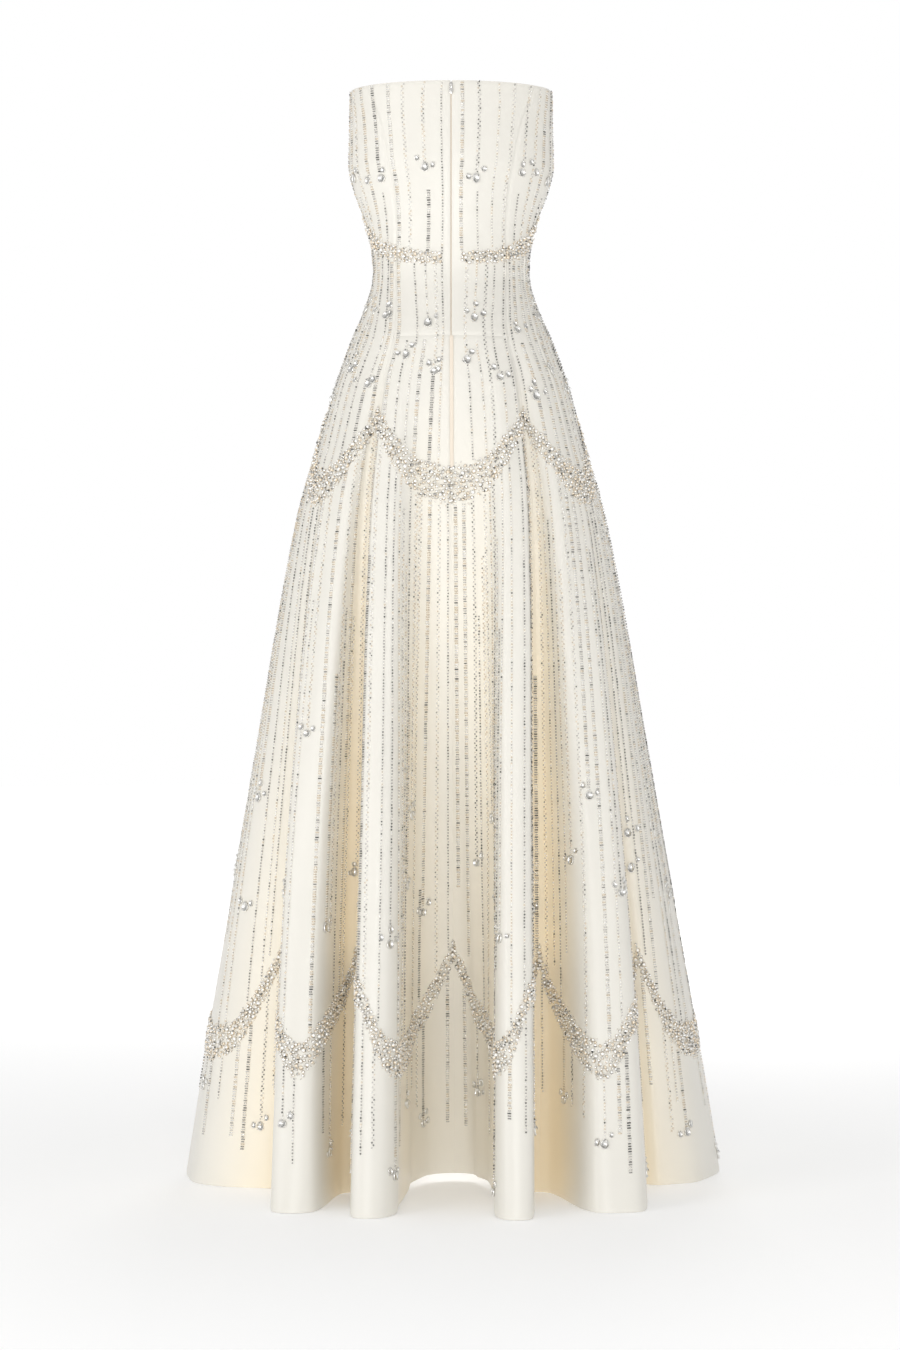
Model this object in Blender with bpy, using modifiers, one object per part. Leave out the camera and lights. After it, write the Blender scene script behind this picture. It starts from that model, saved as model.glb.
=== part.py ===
"""A-line evening gown: fitted bodice, dropped waist seam, concealed back zip, deep soft skirt folds.

Metres, +Z up. The gown keeps the form it has when it is worn, hollow and open at the neck and the
hem. The origin is the middle of the natural waist. The back, with the zip, faces -Y, and +X is the
wearer's right. A place on the cloth is given by how far along the hem its thread lies and by its
height, so every seam, bead band and crystal follows the folds.
"""

import math
from collections import namedtuple

import bmesh
import bpy
import numpy as np

# Heights above and below the natural waist
NECK_HEIGHT = 0.254
WAIST_SEAM_HEIGHT = -0.096
HEM_HEIGHT = -1.243
ZIP_END_HEIGHT = -0.240

# Cloth
CLOTH_WALL = 0.0020
SEAM_GAP = 0.0003
ZIP_SLOT = 0.0020

# Columns of points: COLUMN_WIDTH apart along a straight hem, and closer by BEND_WORTH a radian where
# the hem bends. HEM_STEPS is how finely the hem's curve is worked out.
COLUMN_WIDTH = 0.036
BEND_WORTH = 0.040
BACK_BODICE_COLUMNS = 5
FRONT_BODICE_COLUMNS = 10
HEM_STEPS = 4800
NORMAL_STEP = 0.0015

# Angles of the princess seams, from the centre back round by the wearer's right
BACK_SEAM = 38.0
FRONT_SEAM = 138.0
FULL_TURN = 360.0

# Rings of the smooth body under the folds. seam_sway turns the princess seams towards the side.
Section = namedtuple("Section", "height half_width back front seam_sway")
SECTIONS = (
    Section(0.254, 0.1395, 0.0820, 0.1010, 19.0),
    Section(0.200, 0.1405, 0.0865, 0.1060, 6.0),
    Section(0.150, 0.1415, 0.0890, 0.1060, 0.0),
    Section(0.118, 0.1350, 0.0880, 0.1020, -1.0),
    Section(0.076, 0.1195, 0.0850, 0.0965, 2.0),
    Section(0.035, 0.1095, 0.0825, 0.0920, 6.0),
    Section(0.000, 0.1070, 0.0830, 0.0910, 8.0),
    Section(-0.040, 0.1165, 0.0930, 0.0960, 3.0),
    Section(-0.096, 0.1400, 0.1120, 0.1070, -4.0),
    Section(-0.160, 0.1625, 0.1280, 0.1180, -1.0),
    Section(-0.229, 0.1820, 0.1430, 0.1320, 0.0),
    Section(-0.312, 0.2075, 0.1610, 0.1500, 0.0),
    Section(-0.424, 0.2305, 0.1850, 0.1740, 0.0),
    Section(-0.646, 0.2690, 0.2280, 0.2190, 0.0),
    Section(-0.868, 0.3080, 0.2700, 0.2620, 0.0),
    Section(-1.090, 0.3460, 0.3120, 0.3050, 0.0),
    Section(-1.243, 0.3710, 0.3400, 0.3330, 0.0),
)

# Cups, as soft swellings of the front over the bust
CUP_HEIGHT = 0.165
CUP_ANGLE = 34.0
CUP_SPREAD_ANGLE = 24.0
CUP_SPREAD_HEIGHT = 0.055
CUP_RISE = 0.020

# Ridges and valleys of the skirt, once round from the centre back by the wearer's right. angle is
# where the fold leaves the hip, in degrees, and span how much of the hip it takes. side and depth
# are its place on the hem, breadth how flat its crest is there, and run which way the cloth goes.
# opening is 1 for a fold that opens evenly from the waist seam and more for one that opens lower.
Fold = namedtuple("Fold", "name angle span side depth breadth run opening lift")
FOLDS = (
    Fold("back_valley", 0.0, 10.0, 0.004, -0.094, 0.060, 0.0, 1.4, 0.010),
    Fold("back_ridge_right", 31.0, 9.0, 0.0850, -0.366, 0.030, 0.0, 1.0, 0.0),
    Fold("pleat_valley_right", BACK_SEAM, 3.0, 0.1160, -0.176, 0.022, 0.0, 1.1, 0.0),
    Fold("side_ridge_right", 55.5, 11.0, 0.2150, -0.316, 0.060, 4.0, 1.7, 0.0),
    Fold("side_valley_right", 66.0, 4.0, 0.2700, -0.118, 0.030, -20.0, 1.6, 0.0),
    Fold("hip_ridge_right", 88.0, 9.0, 0.3560, -0.036, 0.100, 70.0, 1.9, 0.0),
    Fold("front_side_valley_right", 107.0, 6.0, 0.2850, 0.142, 0.050, 158.0, 1.9, 0.0),
    Fold("front_side_ridge_right", 122.0, 9.0, 0.2120, 0.314, 0.060, 174.0, 1.8, 0.0),
    Fold("front_valley_right", FRONT_SEAM, 5.0, 0.1240, 0.212, 0.030, 180.0, 1.3, 0.0),
    Fold("front_ridge_right", 152.0, 10.0, 0.0890, 0.338, 0.040, 180.0, 1.2, 0.0),
    Fold("front_centre", 180.0, 16.0, 0.0000, 0.286, 0.070, 180.0, 1.6, 0.0),
    Fold("front_ridge_left", 208.0, 10.0, -0.0910, 0.334, 0.044, 180.0, 1.2, 0.0),
    Fold("front_valley_left", FULL_TURN - FRONT_SEAM, 5.0, -0.1280, 0.206, 0.030, 180.0, 1.3, 0.0),
    Fold("front_side_ridge_left", 239.0, 9.0, -0.2160, 0.318, 0.056, 186.0, 1.8, 0.0),
    Fold("front_side_valley_left", 254.0, 6.0, -0.2860, 0.150, 0.050, 202.0, 1.9, 0.0),
    Fold("hip_ridge_left", 273.0, 9.0, -0.3480, -0.064, 0.105, 290.0, 1.9, 0.0),
    Fold("side_valley_left", 297.0, 4.0, -0.2360, -0.150, 0.040, 352.0, 1.6, 0.0),
    Fold("side_ridge_left", 308.5, 11.0, -0.2040, -0.316, 0.048, 358.0, 1.7, 0.0),
    Fold("pleat_valley_left", FULL_TURN - BACK_SEAM, 3.0, -0.1300, -0.180, 0.022, 360.0, 1.1, 0.0),
    Fold("back_ridge_left", 329.0, 9.0, -0.1060, -0.354, 0.036, 362.0, 1.0, 0.0),
)

# Beaded bands, raised in the outer face. Each hangs in swags between the angles of its knots:
# knot and dip are heights, and breadth goes from its least at the knots to its most at the dips.
Band = namedtuple("Band", "name knots knot dip least most")
SIDES = (-90.0, 90.0, 270.0, 450.0)
SEAMS = (
    -BACK_SEAM, BACK_SEAM, 90.0, FRONT_SEAM,
    FULL_TURN - FRONT_SEAM, 270.0, FULL_TURN - BACK_SEAM, FULL_TURN + BACK_SEAM,
)
VALLEYS = (
    -BACK_SEAM, 0.0, BACK_SEAM, 66.0, 107.0, FRONT_SEAM, 180.0,
    FULL_TURN - FRONT_SEAM, 254.0, 297.0, FULL_TURN - BACK_SEAM, FULL_TURN, FULL_TURN + BACK_SEAM,
)
BODICE_BAND = Band("bodice_band", SIDES, 0.066, 0.012, 0.036, 0.016)
HIP_BAND = Band("hip_band", SEAMS, -0.205, -0.300, 0.024, 0.050)
HEM_BAND = Band("hem_band", VALLEYS, -0.930, -1.055, 0.026, 0.044)
SWAG_FULLNESS = 0.8
BAND_RISE = 0.0030
BAND_BEVEL = 0.0030
ZIP_BAND_GAP_ANGLE = 6.0

# Rows of points from the top down. A name stands for the four edges of a band.
# Each full-height panel is cut in one from the neck to the hem, so its bodice rows run on down.
BODICE_ROWS = (
    NECK_HEIGHT, 0.216, 0.180, 0.146, 0.112, 0.086, "bodice_band", -0.010, -0.042, WAIST_SEAM_HEIGHT,
)
SKIRT_ROWS = (
    WAIST_SEAM_HEIGHT, -0.112, "hip_band", -0.400, -0.500, -0.625, -0.785, "hem_band", -1.100, HEM_HEIGHT,
)
FULL_ROWS = BODICE_ROWS[:-1] + SKIRT_ROWS
OUTSIDE_ONLY_ROWS = (-0.400, -0.625, -1.100)

# Large crystals at the ends of the bead lines, raised as studs in the outer face. They go round by
# angle on the body and by length along the hem on the skirt, at uneven heights from low to high,
# which lie between two rows of points.
STUD_RADIUS = 0.0055
STUD_INSET = 0.0005
STUD_RISE = 0.0050
STUD_EDGE_RISE = 0.0014
STUD_ROOM = 0.0072
Drops = namedtuple("Drops", "name count low high round_by")
DROPS = (
    Drops("bodice", 12, 0.120, 0.138, "angle"),
    Drops("below_bodice_band", 12, -0.088, -0.050, "angle"),
    Drops("above_hip_band", 20, -0.182, -0.120, "angle"),
    Drops("mid_skirt", 14, -0.777, -0.633, "length"),
    Drops("above_hem_band", 34, -0.905, -0.793, "length"),
    Drops("above_hem", 36, -1.226, -1.108, "length"),
)
GOLDEN = 0.618034

# Zip hardware
TAPE_HALF_ANGLE = 5.5
TAPE_COLUMNS = 5
TAPE_WALL = 0.0010
TAPE_CLEARANCE = 0.0005
TAPE_BELOW_NECK = 0.0020
SLIDER_HEIGHT = 0.2470
SLIDER_SIZE = (0.0048, 0.0012, 0.0085)
SLIDER_NECK = (0.0014, 0.0051)
METAL_LAP = 0.0004
BAIL_SIZE = (0.0016, 0.0028, 0.0070)
BAIL_TUNNEL = (0.0018, 0.0040)
PULL_SIZE = (0.0050, 0.0009, 0.0128)
PULL_BAR = 0.00045
PULL_WINDOW = (0.0024, 0.0042)
METAL_BEVEL = 0.00025


def smooth_between(knots, values, at):
    """Values read between the knots on a curve that never overshoots them."""
    knots = np.asarray(knots, float)
    values = np.asarray(values, float)
    step = np.diff(knots)
    slope = np.diff(values) / step
    tangent = np.zeros(len(knots))
    before, after = slope[:-1], slope[1:]
    same_way = before * after > 0
    mean = 2.0 * before * after / np.where(same_way, before + after, 1.0)
    tangent[1:-1] = np.where(same_way, mean, 0.0)
    tangent[0], tangent[-1] = slope[0], slope[-1]
    return hermite(knots, values, tangent, at)


def hermite(knots, values, tangent, at):
    """A cubic curve through the values with these tangents, read at the given places."""
    i = np.clip(np.searchsorted(knots, at, side="right") - 1, 0, len(knots) - 2)
    step = knots[i + 1] - knots[i]
    t = (at - knots[i]) / step
    return (
        (2 * t**3 - 3 * t**2 + 1) * values[i]
        + (t**3 - 2 * t**2 + t) * step * tangent[i]
        + (3 * t**2 - 2 * t**3) * values[i + 1]
        + (t**3 - t**2) * step * tangent[i + 1]
    )


def section_value(column, height):
    """One column of the section table at any height."""
    rows = sorted(SECTIONS, key=lambda row: row.height)
    return smooth_between([row.height for row in rows], [getattr(row, column) for row in rows], height)


def hem_line():
    """The hem as a table of length, place, hip angle, opening and lift, worked out from the folds."""
    knots = {"x": [], "y": [], "angle": [], "opening": [], "lift": []}
    for turn in (-1, 0, 1):
        for fold in FOLDS:
            for end in (-0.5, 0.5):
                run = math.radians(fold.run)
                knots["x"].append(fold.side + end * fold.breadth * math.cos(run))
                knots["y"].append(fold.depth + end * fold.breadth * math.sin(run))
                knots["angle"].append(fold.angle + end * fold.span + turn * FULL_TURN)
                knots["opening"].append(fold.opening)
                knots["lift"].append(fold.lift)
    x, y = np.array(knots["x"]), np.array(knots["y"])
    along = np.concatenate([[0.0], np.cumsum(np.hypot(np.diff(x), np.diff(y)) ** 0.5)])
    fine = np.linspace(along[0], along[-1], HEM_STEPS + 1)
    line = {}
    for name, values in (("x", x), ("y", y)):
        step = np.diff(along)
        slope = np.diff(values) / step
        tangent = np.zeros(len(values))
        tangent[1:-1] = (step[1:] * slope[:-1] + step[:-1] * slope[1:]) / (step[1:] + step[:-1])
        line[name] = hermite(along, values, tangent, fine)
    for name in ("angle", "opening", "lift"):
        line[name] = smooth_between(along, np.array(knots[name]), fine)
    step_x, step_y = np.diff(line["x"]), np.diff(line["y"])
    length = np.concatenate([[0.0], np.cumsum(np.hypot(step_x, step_y))])
    line["length"] = length - np.interp(0.0, line["angle"], length)
    turned = np.abs(np.diff(np.unwrap(np.arctan2(step_y, step_x))))
    bend = np.concatenate([[0.0, 0.0], np.cumsum(turned)])
    line["worth"] = line["length"] + BEND_WORTH * bend
    return line


HEM = hem_line()


def length_at(angle):
    """How far along the hem the thread lies that leaves the hip at this angle."""
    return np.interp(angle, HEM["angle"], HEM["length"])


def ring(angle, height):
    """The smooth body at a height: x and y at each angle, 0 at the centre back and 90 on the right."""
    turned = np.radians(angle + section_value("seam_sway", height) * np.sin(2.0 * np.radians(angle)))
    sine, cosine = np.sin(turned), np.cos(turned)
    depth = np.where(cosine > 0.0, section_value("back", height), section_value("front", height))
    cup = np.zeros(np.broadcast(angle, height).shape)
    for centre in (180.0 - CUP_ANGLE, 180.0 + CUP_ANGLE):
        aside = (np.mod(angle, FULL_TURN) - centre) / CUP_SPREAD_ANGLE
        above = (height - CUP_HEIGHT) / CUP_SPREAD_HEIGHT
        cup = cup + CUP_RISE * np.exp(-(aside**2) - above**2)
    x = section_value("half_width", height) * sine + cup * sine
    y = -depth * cosine - cup * cosine
    return x, y


def cloth_point(length, height):
    """The cloth's outer face, unraised, at a place along the hem and a height."""
    length, height = np.broadcast_arrays(np.asarray(length, float), np.asarray(height, float))
    angle = np.interp(length, HEM["length"], HEM["angle"])
    opening = np.interp(length, HEM["length"], HEM["opening"])
    lift = np.interp(length, HEM["length"], HEM["lift"])
    drop = np.clip((WAIST_SEAM_HEIGHT - height) / (WAIST_SEAM_HEIGHT - HEM_HEIGHT), 0.0, 1.0)
    share = drop**opening
    x, y = ring(angle, height)
    hem_x, hem_y = ring(angle, np.full_like(height, HEM_HEIGHT))
    x = x + share * (np.interp(length, HEM["length"], HEM["x"]) - hem_x)
    y = y + share * (np.interp(length, HEM["length"], HEM["y"]) - hem_y)
    return np.stack([x, y, height + lift * drop**2], axis=-1)


def cloth_normal(length, height):
    """The way out of the cloth, the same for two panels that meet at a seam."""
    across = cloth_point(length + NORMAL_STEP, height) - cloth_point(length - NORMAL_STEP, height)
    up = cloth_point(length, height + NORMAL_STEP) - cloth_point(length, height - NORMAL_STEP)
    out = np.cross(across, up)
    return out / np.linalg.norm(out, axis=-1, keepdims=True)


def band_shape(band, angle):
    """Middle height and half breadth of a band at each hip angle."""
    knots = np.array(band.knots)
    i = np.clip(np.searchsorted(knots, angle, side="right") - 1, 0, len(knots) - 2)
    share = np.clip((angle - knots[i]) / (knots[i + 1] - knots[i]), 0.0, 1.0)
    sag = np.sin(math.pi * share) ** SWAG_FULLNESS
    middle = band.knot + (band.dip - band.knot) * sag
    return middle, 0.5 * (band.least + (band.most - band.least) * sag)


def row_heights(rows, length, inside):
    """Heights of each row of points, from the hem up, and how far each stands out of the cloth."""
    angle = np.interp(length, HEM["length"], HEM["angle"])
    bands = {band.name: band for band in (BODICE_BAND, HIP_BAND, HEM_BAND)}
    heights, rises = [], []
    for row in rows:
        if row in bands:
            middle, half = band_shape(bands[row], angle)
            edges = [(half + BAND_BEVEL, 0.0), (half, 1.0), (-half, 1.0), (-half - BAND_BEVEL, 0.0)]
            if inside:
                edges = [edges[0], edges[3]]
            full = np.full_like(angle, BAND_RISE)
            if row == "bodice_band":
                from_zip = np.abs((angle + 180.0) % FULL_TURN - 180.0)
                full = np.where(from_zip > ZIP_BAND_GAP_ANGLE, full, 0.0)
            for offset, raised in edges:
                heights.append(middle + offset)
                rises.append(full * raised)
        elif not (inside and row in OUTSIDE_ONLY_ROWS):
            heights.append(np.full_like(angle, row))
            rises.append(np.zeros_like(angle))
    return np.array(heights[::-1]), np.array(rises[::-1])


def pull_back(points, first_gap, last_gap):
    """Takes the first and last columns of points back from the seams."""
    for edge, inner, gap in ((0, 1, first_gap), (-1, -2, last_gap)):
        towards = points[:, inner] - points[:, edge]
        away = np.linalg.norm(towards, axis=-1, keepdims=True)
        points[:, edge] += towards / away * np.asarray(gap).reshape(-1, 1)


def close_rim(bm, first, second):
    """Joins two chains of points with triangles, each step to whichever point comes next."""
    i = j = 0
    while i < len(first) - 1 or j < len(second) - 1:
        if i == len(first) - 1:
            step_first = False
        elif j == len(second) - 1:
            step_first = True
        else:
            to_first = (first[i + 1].co - second[j].co).length
            step_first = to_first <= (second[j + 1].co - first[i].co).length
        if step_first:
            bm.faces.new((first[i], first[i + 1], second[j]))
            i += 1
        else:
            bm.faces.new((first[i], second[j + 1], second[j]))
            j += 1


def laid_grid(bm, points):
    """A grid of faces on these points, rows from the bottom up, and its points row by row."""
    rows, columns = points.shape[:2]
    made = bmesh.ops.create_grid(bm, x_segments=columns - 1, y_segments=rows - 1, size=1.0)
    verts = sorted(made["verts"], key=lambda v: (round(v.co.y, 5), round(v.co.x, 5)))
    grid = [verts[r * columns : (r + 1) * columns] for r in range(rows)]
    for r in range(rows):
        for c in range(columns):
            grid[r][c].co = points[r, c]
    return grid


def raise_stud(bm, grid, lengths, heights, used, length, height):
    """Raises one large crystal in the outer face, over as many columns as it takes, if there is room."""
    centre = cloth_point(length, height)
    out = cloth_normal(length, height)
    away = np.linalg.norm(cloth_point(lengths, height) - centre, axis=-1)
    before = np.nonzero((lengths < length) & (away >= STUD_ROOM))[0]
    after = np.nonzero((lengths > length) & (away >= STUD_ROOM))[0]
    if not len(before) or not len(after):
        return
    first, last = before[-1], after[0]
    clear = [
        r for r in range(len(heights) - 1)
        if heights[r, first : last + 1].max() + STUD_ROOM <= height
        and heights[r + 1, first : last + 1].min() - STUD_ROOM >= height
    ]
    cells = {(clear[0], column) for column in range(first, last)} if clear else set()
    if not cells or cells & used:
        return
    used |= cells
    low, high = grid[clear[0]], grid[clear[0] + 1]
    inner_edges = [bm.edges.get((low[c], high[c])) for c in range(first + 1, last)]
    if inner_edges:
        bmesh.ops.dissolve_edges(bm, edges=inner_edges, use_verts=False)
    corners = low[first : last + 1] + high[first : last + 1]
    face = next(f for f in low[first].link_faces if all(corner in f.verts for corner in corners))
    bmesh.ops.inset_individual(bm, faces=[face], thickness=STUD_INSET)
    for vert in face.verts:
        outer = np.array(min(corners, key=lambda corner: (corner.co - vert.co).length).co)
        way = outer - centre
        way = way - out * float(way @ out)
        vert.co = centre + STUD_RADIUS * way / np.linalg.norm(way) + out * STUD_EDGE_RISE
    tip = bmesh.ops.poke(bm, faces=[face])["verts"][0]
    tip.co = centre + out * STUD_RISE


def stud_places():
    """Length and height of every raised crystal, spread unevenly but the same each time."""
    hem_length = float(length_at(FULL_TURN))
    places = []
    for drops in DROPS:
        for i in range(drops.count):
            share = (i + 0.5) / drops.count
            on_hem = share * hem_length if drops.round_by == "length" else length_at(share * FULL_TURN)
            uneven = (len(places) * GOLDEN) % 1.0
            places.append((float(on_hem), drops.low + (drops.high - drops.low) * uneven))
    return places


def material(name, colour, roughness, metallic=0.0):
    """A plain Principled material."""
    made = bpy.data.materials.new(name)
    made.use_nodes = True
    shader = made.node_tree.nodes["Principled BSDF"]
    shader.inputs["Base Color"].default_value = (*colour, 1.0)
    shader.inputs["Roughness"].default_value = roughness
    shader.inputs["Metallic"].default_value = metallic
    return made


def object_from(bm, name, made_of):
    """Adds a named object made from a bmesh, with its faces pointing out."""
    bmesh.ops.recalc_face_normals(bm, faces=bm.faces)
    mesh = bpy.data.meshes.new(name)
    bm.to_mesh(mesh)
    bm.free()
    mesh.materials.append(made_of)
    gown.objects.link(bpy.data.objects.new(name, mesh))


def cloth_panel(name, lengths, rows, seam_top=False, seam_foot=False, zip_first=False, zip_last=False):
    """One cut piece: an outer face with its raised bands and crystals, a plain inner face and a rim."""
    heights, rises = row_heights(rows, lengths, inside=False)
    plain, _ = row_heights(rows, lengths, inside=True)
    for levels in (heights, plain):
        if seam_top:
            levels[-1] -= SEAM_GAP / 2
        if seam_foot:
            levels[0] += SEAM_GAP / 2
    outer = cloth_point(lengths, heights) + cloth_normal(lengths, heights) * rises[..., None]
    inner = cloth_point(lengths, plain) - cloth_normal(lengths, plain) * CLOTH_WALL
    for points, levels in ((outer, heights), (inner, plain)):
        slot = np.where(levels > ZIP_END_HEIGHT, ZIP_SLOT / 2, SEAM_GAP / 2)
        first = slot[:, 0] if zip_first else np.full(len(levels), SEAM_GAP / 2)
        last = slot[:, -1] if zip_last else np.full(len(levels), SEAM_GAP / 2)
        pull_back(points, first, last)
    bm = bmesh.new()
    out, back = laid_grid(bm, outer), laid_grid(bm, inner)
    close_rim(bm, out[0], back[0])
    close_rim(bm, out[-1], back[-1])
    close_rim(bm, [row[0] for row in out], [row[0] for row in back])
    close_rim(bm, [row[-1] for row in out], [row[-1] for row in back])
    used = set()
    for length, height in stud_places():
        raise_stud(bm, out, lengths, heights, used, length, height)
    bmesh.ops.triangulate(bm, faces=bm.faces)
    object_from(bm, name, satin)


def skirt_columns(first, last):
    """Threads between two hip angles, closer together where the hem bends more."""
    start, end = np.interp((first, last), HEM["angle"], HEM["worth"])
    even = np.linspace(start, end, math.ceil((end - start) / COLUMN_WIDTH) + 1)
    return np.interp(even, HEM["worth"], HEM["length"])


def bodice_columns(first, last, count):
    """Threads between two hip angles, evenly spaced round the body."""
    return length_at(np.linspace(first, last, count + 1))


def zip_tape():
    """The tape that carries the zip, on the same rows as the cloth it lies under and just clear of it."""
    lengths = length_at(np.linspace(-TAPE_HALF_ANGLE, TAPE_HALF_ANGLE, TAPE_COLUMNS))
    heights, _ = row_heights(FULL_ROWS, lengths, inside=True)
    clear = CLOTH_WALL + TAPE_CLEARANCE
    foot = int(np.searchsorted(heights[:, 0], ZIP_END_HEIGHT))
    share = (ZIP_END_HEIGHT - heights[foot - 1]) / (heights[foot] - heights[foot - 1])
    bm = bmesh.new()
    faces = []
    for depth in (clear, clear + TAPE_WALL):
        points = cloth_point(lengths, heights) - cloth_normal(lengths, heights) * depth
        end = points[foot - 1] + (points[foot] - points[foot - 1]) * share[:, None]
        points[-1, :, 2] -= TAPE_BELOW_NECK
        faces.append(laid_grid(bm, np.concatenate([end[None], points[foot:]])))
    near, far = faces
    for first, second in (
        (near[0], far[0]),
        (near[-1], far[-1]),
        ([row[0] for row in near], [row[0] for row in far]),
        ([row[-1] for row in near], [row[-1] for row in far]),
    ):
        close_rim(bm, first, second)
    object_from(bm, "zip_tape", tape)


def block(name, size, place, collection, made_of=None):
    """A box of this size at this place, with its scale applied."""
    bm = bmesh.new()
    bmesh.ops.create_cube(bm, size=1.0)
    bmesh.ops.scale(bm, vec=size, verts=bm.verts)
    bmesh.ops.translate(bm, vec=place, verts=bm.verts)
    mesh = bpy.data.meshes.new(name)
    bm.to_mesh(mesh)
    bm.free()
    made = bpy.data.objects.new(name, mesh)
    if made_of:
        mesh.materials.append(made_of)
    else:
        made.hide_render = True
        made.display_type = "WIRE"
    collection.objects.link(made)
    return made


def joined_with(base, other, operation):
    """Adds a Boolean to the base object."""
    change = base.modifiers.new(other.name, "BOOLEAN")
    change.operation = operation
    change.object = other
    change.solver = "EXACT"


def zip_hardware():
    """The slider, whose neck goes in through the slot, and the pull that hangs on its bail."""
    out = cloth_normal(0.0, SLIDER_HEIGHT)
    holder = bpy.data.objects.new("zip_at_neck", None)
    holder.location = cloth_point(0.0, SLIDER_HEIGHT)
    holder.rotation_euler = (math.atan2(-float(out[2]), -float(out[1])), 0.0, 0.0)
    gown.objects.link(holder)

    plate_out = SEAM_GAP + SLIDER_SIZE[1]
    slider = block("zip_slider", SLIDER_SIZE, (0.0, SLIDER_SIZE[1] / 2 - plate_out, 0.0), gown, silver)
    neck_wide, neck_tall = SLIDER_NECK
    neck_deep = SEAM_GAP + CLOTH_WALL + METAL_LAP
    neck_place = (0.0, CLOTH_WALL - neck_deep / 2, 0.0)
    neck = block("slider_neck", (neck_wide, neck_deep, neck_tall), neck_place, cutters)
    bail = block("slider_bail", BAIL_SIZE, (0.0, METAL_LAP - plate_out - BAIL_SIZE[1] / 2, 0.0), cutters)
    tunnel_deep, tunnel_tall = BAIL_TUNNEL
    pull_axis = (0.0, -plate_out - tunnel_deep / 2, 0.0)
    tunnel = block("bail_tunnel", (SLIDER_SIZE[0], tunnel_deep, tunnel_tall), pull_axis, cutters)
    joined_with(slider, neck, "UNION")
    joined_with(slider, bail, "UNION")
    joined_with(slider, tunnel, "DIFFERENCE")

    pull = block("zip_pull", PULL_SIZE, (0.0, 0.0, PULL_BAR - PULL_SIZE[2] / 2), gown, silver)
    pull.location = pull_axis
    window_wide, window_long = PULL_WINDOW
    window_size = (window_wide, 2 * PULL_SIZE[1], window_long)
    window = block("pull_window", window_size, (0.0, 0.0, -PULL_BAR - window_long / 2), cutters)
    joined_with(pull, window, "DIFFERENCE")
    soften = pull.modifiers.new("soft_edges", "BEVEL")
    soften.width = METAL_BEVEL
    soften.segments = 1
    for piece in (slider, neck, bail, tunnel, pull):
        piece.parent = holder
    window.parent = pull


for old in list(bpy.data.objects):
    bpy.data.objects.remove(old)
gown = bpy.data.collections.new("evening_gown")
cutters = bpy.data.collections.new("cutters")
for collection in (gown, cutters):
    bpy.context.scene.collection.children.link(collection)

satin = material("ivory_satin", (0.90, 0.87, 0.79), 0.38)
tape = material("zip_tape_cream", (0.86, 0.78, 0.65), 0.70)
silver = material("zip_silver", (0.80, 0.79, 0.77), 0.25, metallic=1.0)

for name, first, last in (
    ("side_back_right", BACK_SEAM, 90.0),
    ("side_front_right", 90.0, FRONT_SEAM),
    ("side_front_left", FULL_TURN - FRONT_SEAM, 270.0),
    ("side_back_left", 270.0, FULL_TURN - BACK_SEAM),
):
    cloth_panel(name, skirt_columns(first, last), FULL_ROWS)
for name, first, last, columns, slot in (
    ("back_right", 0.0, BACK_SEAM, BACK_BODICE_COLUMNS, "first"),
    ("back_left", FULL_TURN - BACK_SEAM, FULL_TURN, BACK_BODICE_COLUMNS, "last"),
    ("front", FRONT_SEAM, FULL_TURN - FRONT_SEAM, FRONT_BODICE_COLUMNS, None),
):
    zips = {"zip_first": slot == "first", "zip_last": slot == "last"}
    cloth_panel("bodice_" + name, bodice_columns(first, last, columns), BODICE_ROWS, seam_foot=True, **zips)
    cloth_panel("skirt_" + name, skirt_columns(first, last), SKIRT_ROWS, seam_top=True, **zips)
zip_tape()
zip_hardware()
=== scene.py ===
"""An ivory satin evening gown seen from the back, dressed with lines of beads and crystals."""

import math
from collections import namedtuple

import bpy
import numpy as np
from mathutils import Matrix


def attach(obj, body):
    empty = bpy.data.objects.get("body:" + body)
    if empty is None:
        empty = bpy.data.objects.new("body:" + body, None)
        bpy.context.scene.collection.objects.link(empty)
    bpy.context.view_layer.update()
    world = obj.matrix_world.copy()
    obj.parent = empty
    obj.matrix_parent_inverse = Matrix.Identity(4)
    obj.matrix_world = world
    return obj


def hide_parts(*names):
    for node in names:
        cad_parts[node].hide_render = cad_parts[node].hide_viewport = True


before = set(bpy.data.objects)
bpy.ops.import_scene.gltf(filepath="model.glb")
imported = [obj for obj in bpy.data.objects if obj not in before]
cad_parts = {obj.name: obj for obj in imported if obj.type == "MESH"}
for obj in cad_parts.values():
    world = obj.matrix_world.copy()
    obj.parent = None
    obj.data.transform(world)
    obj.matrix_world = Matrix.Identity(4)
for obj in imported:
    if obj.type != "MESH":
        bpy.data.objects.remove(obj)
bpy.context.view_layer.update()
bpy.ops.object.select_all(action="DESELECT")

# Back of the bodice: two panels of heavy ivory satin, cut from the neck edge to the dropped
# waist seam, one each side of the zip. The satin is pressed over the bust and waist, and its
# edges are turned in, so that a fine ditch shows along each seam.
NECK_HEIGHT = 0.254
WAIST_SEAM_HEIGHT = -0.096
HEM_HEIGHT = -1.243
ZIP_END_HEIGHT = -0.240
BACK_SEAM = 38.0
FRONT_SEAM = 138.0
FULL_TURN = 360.0

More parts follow.
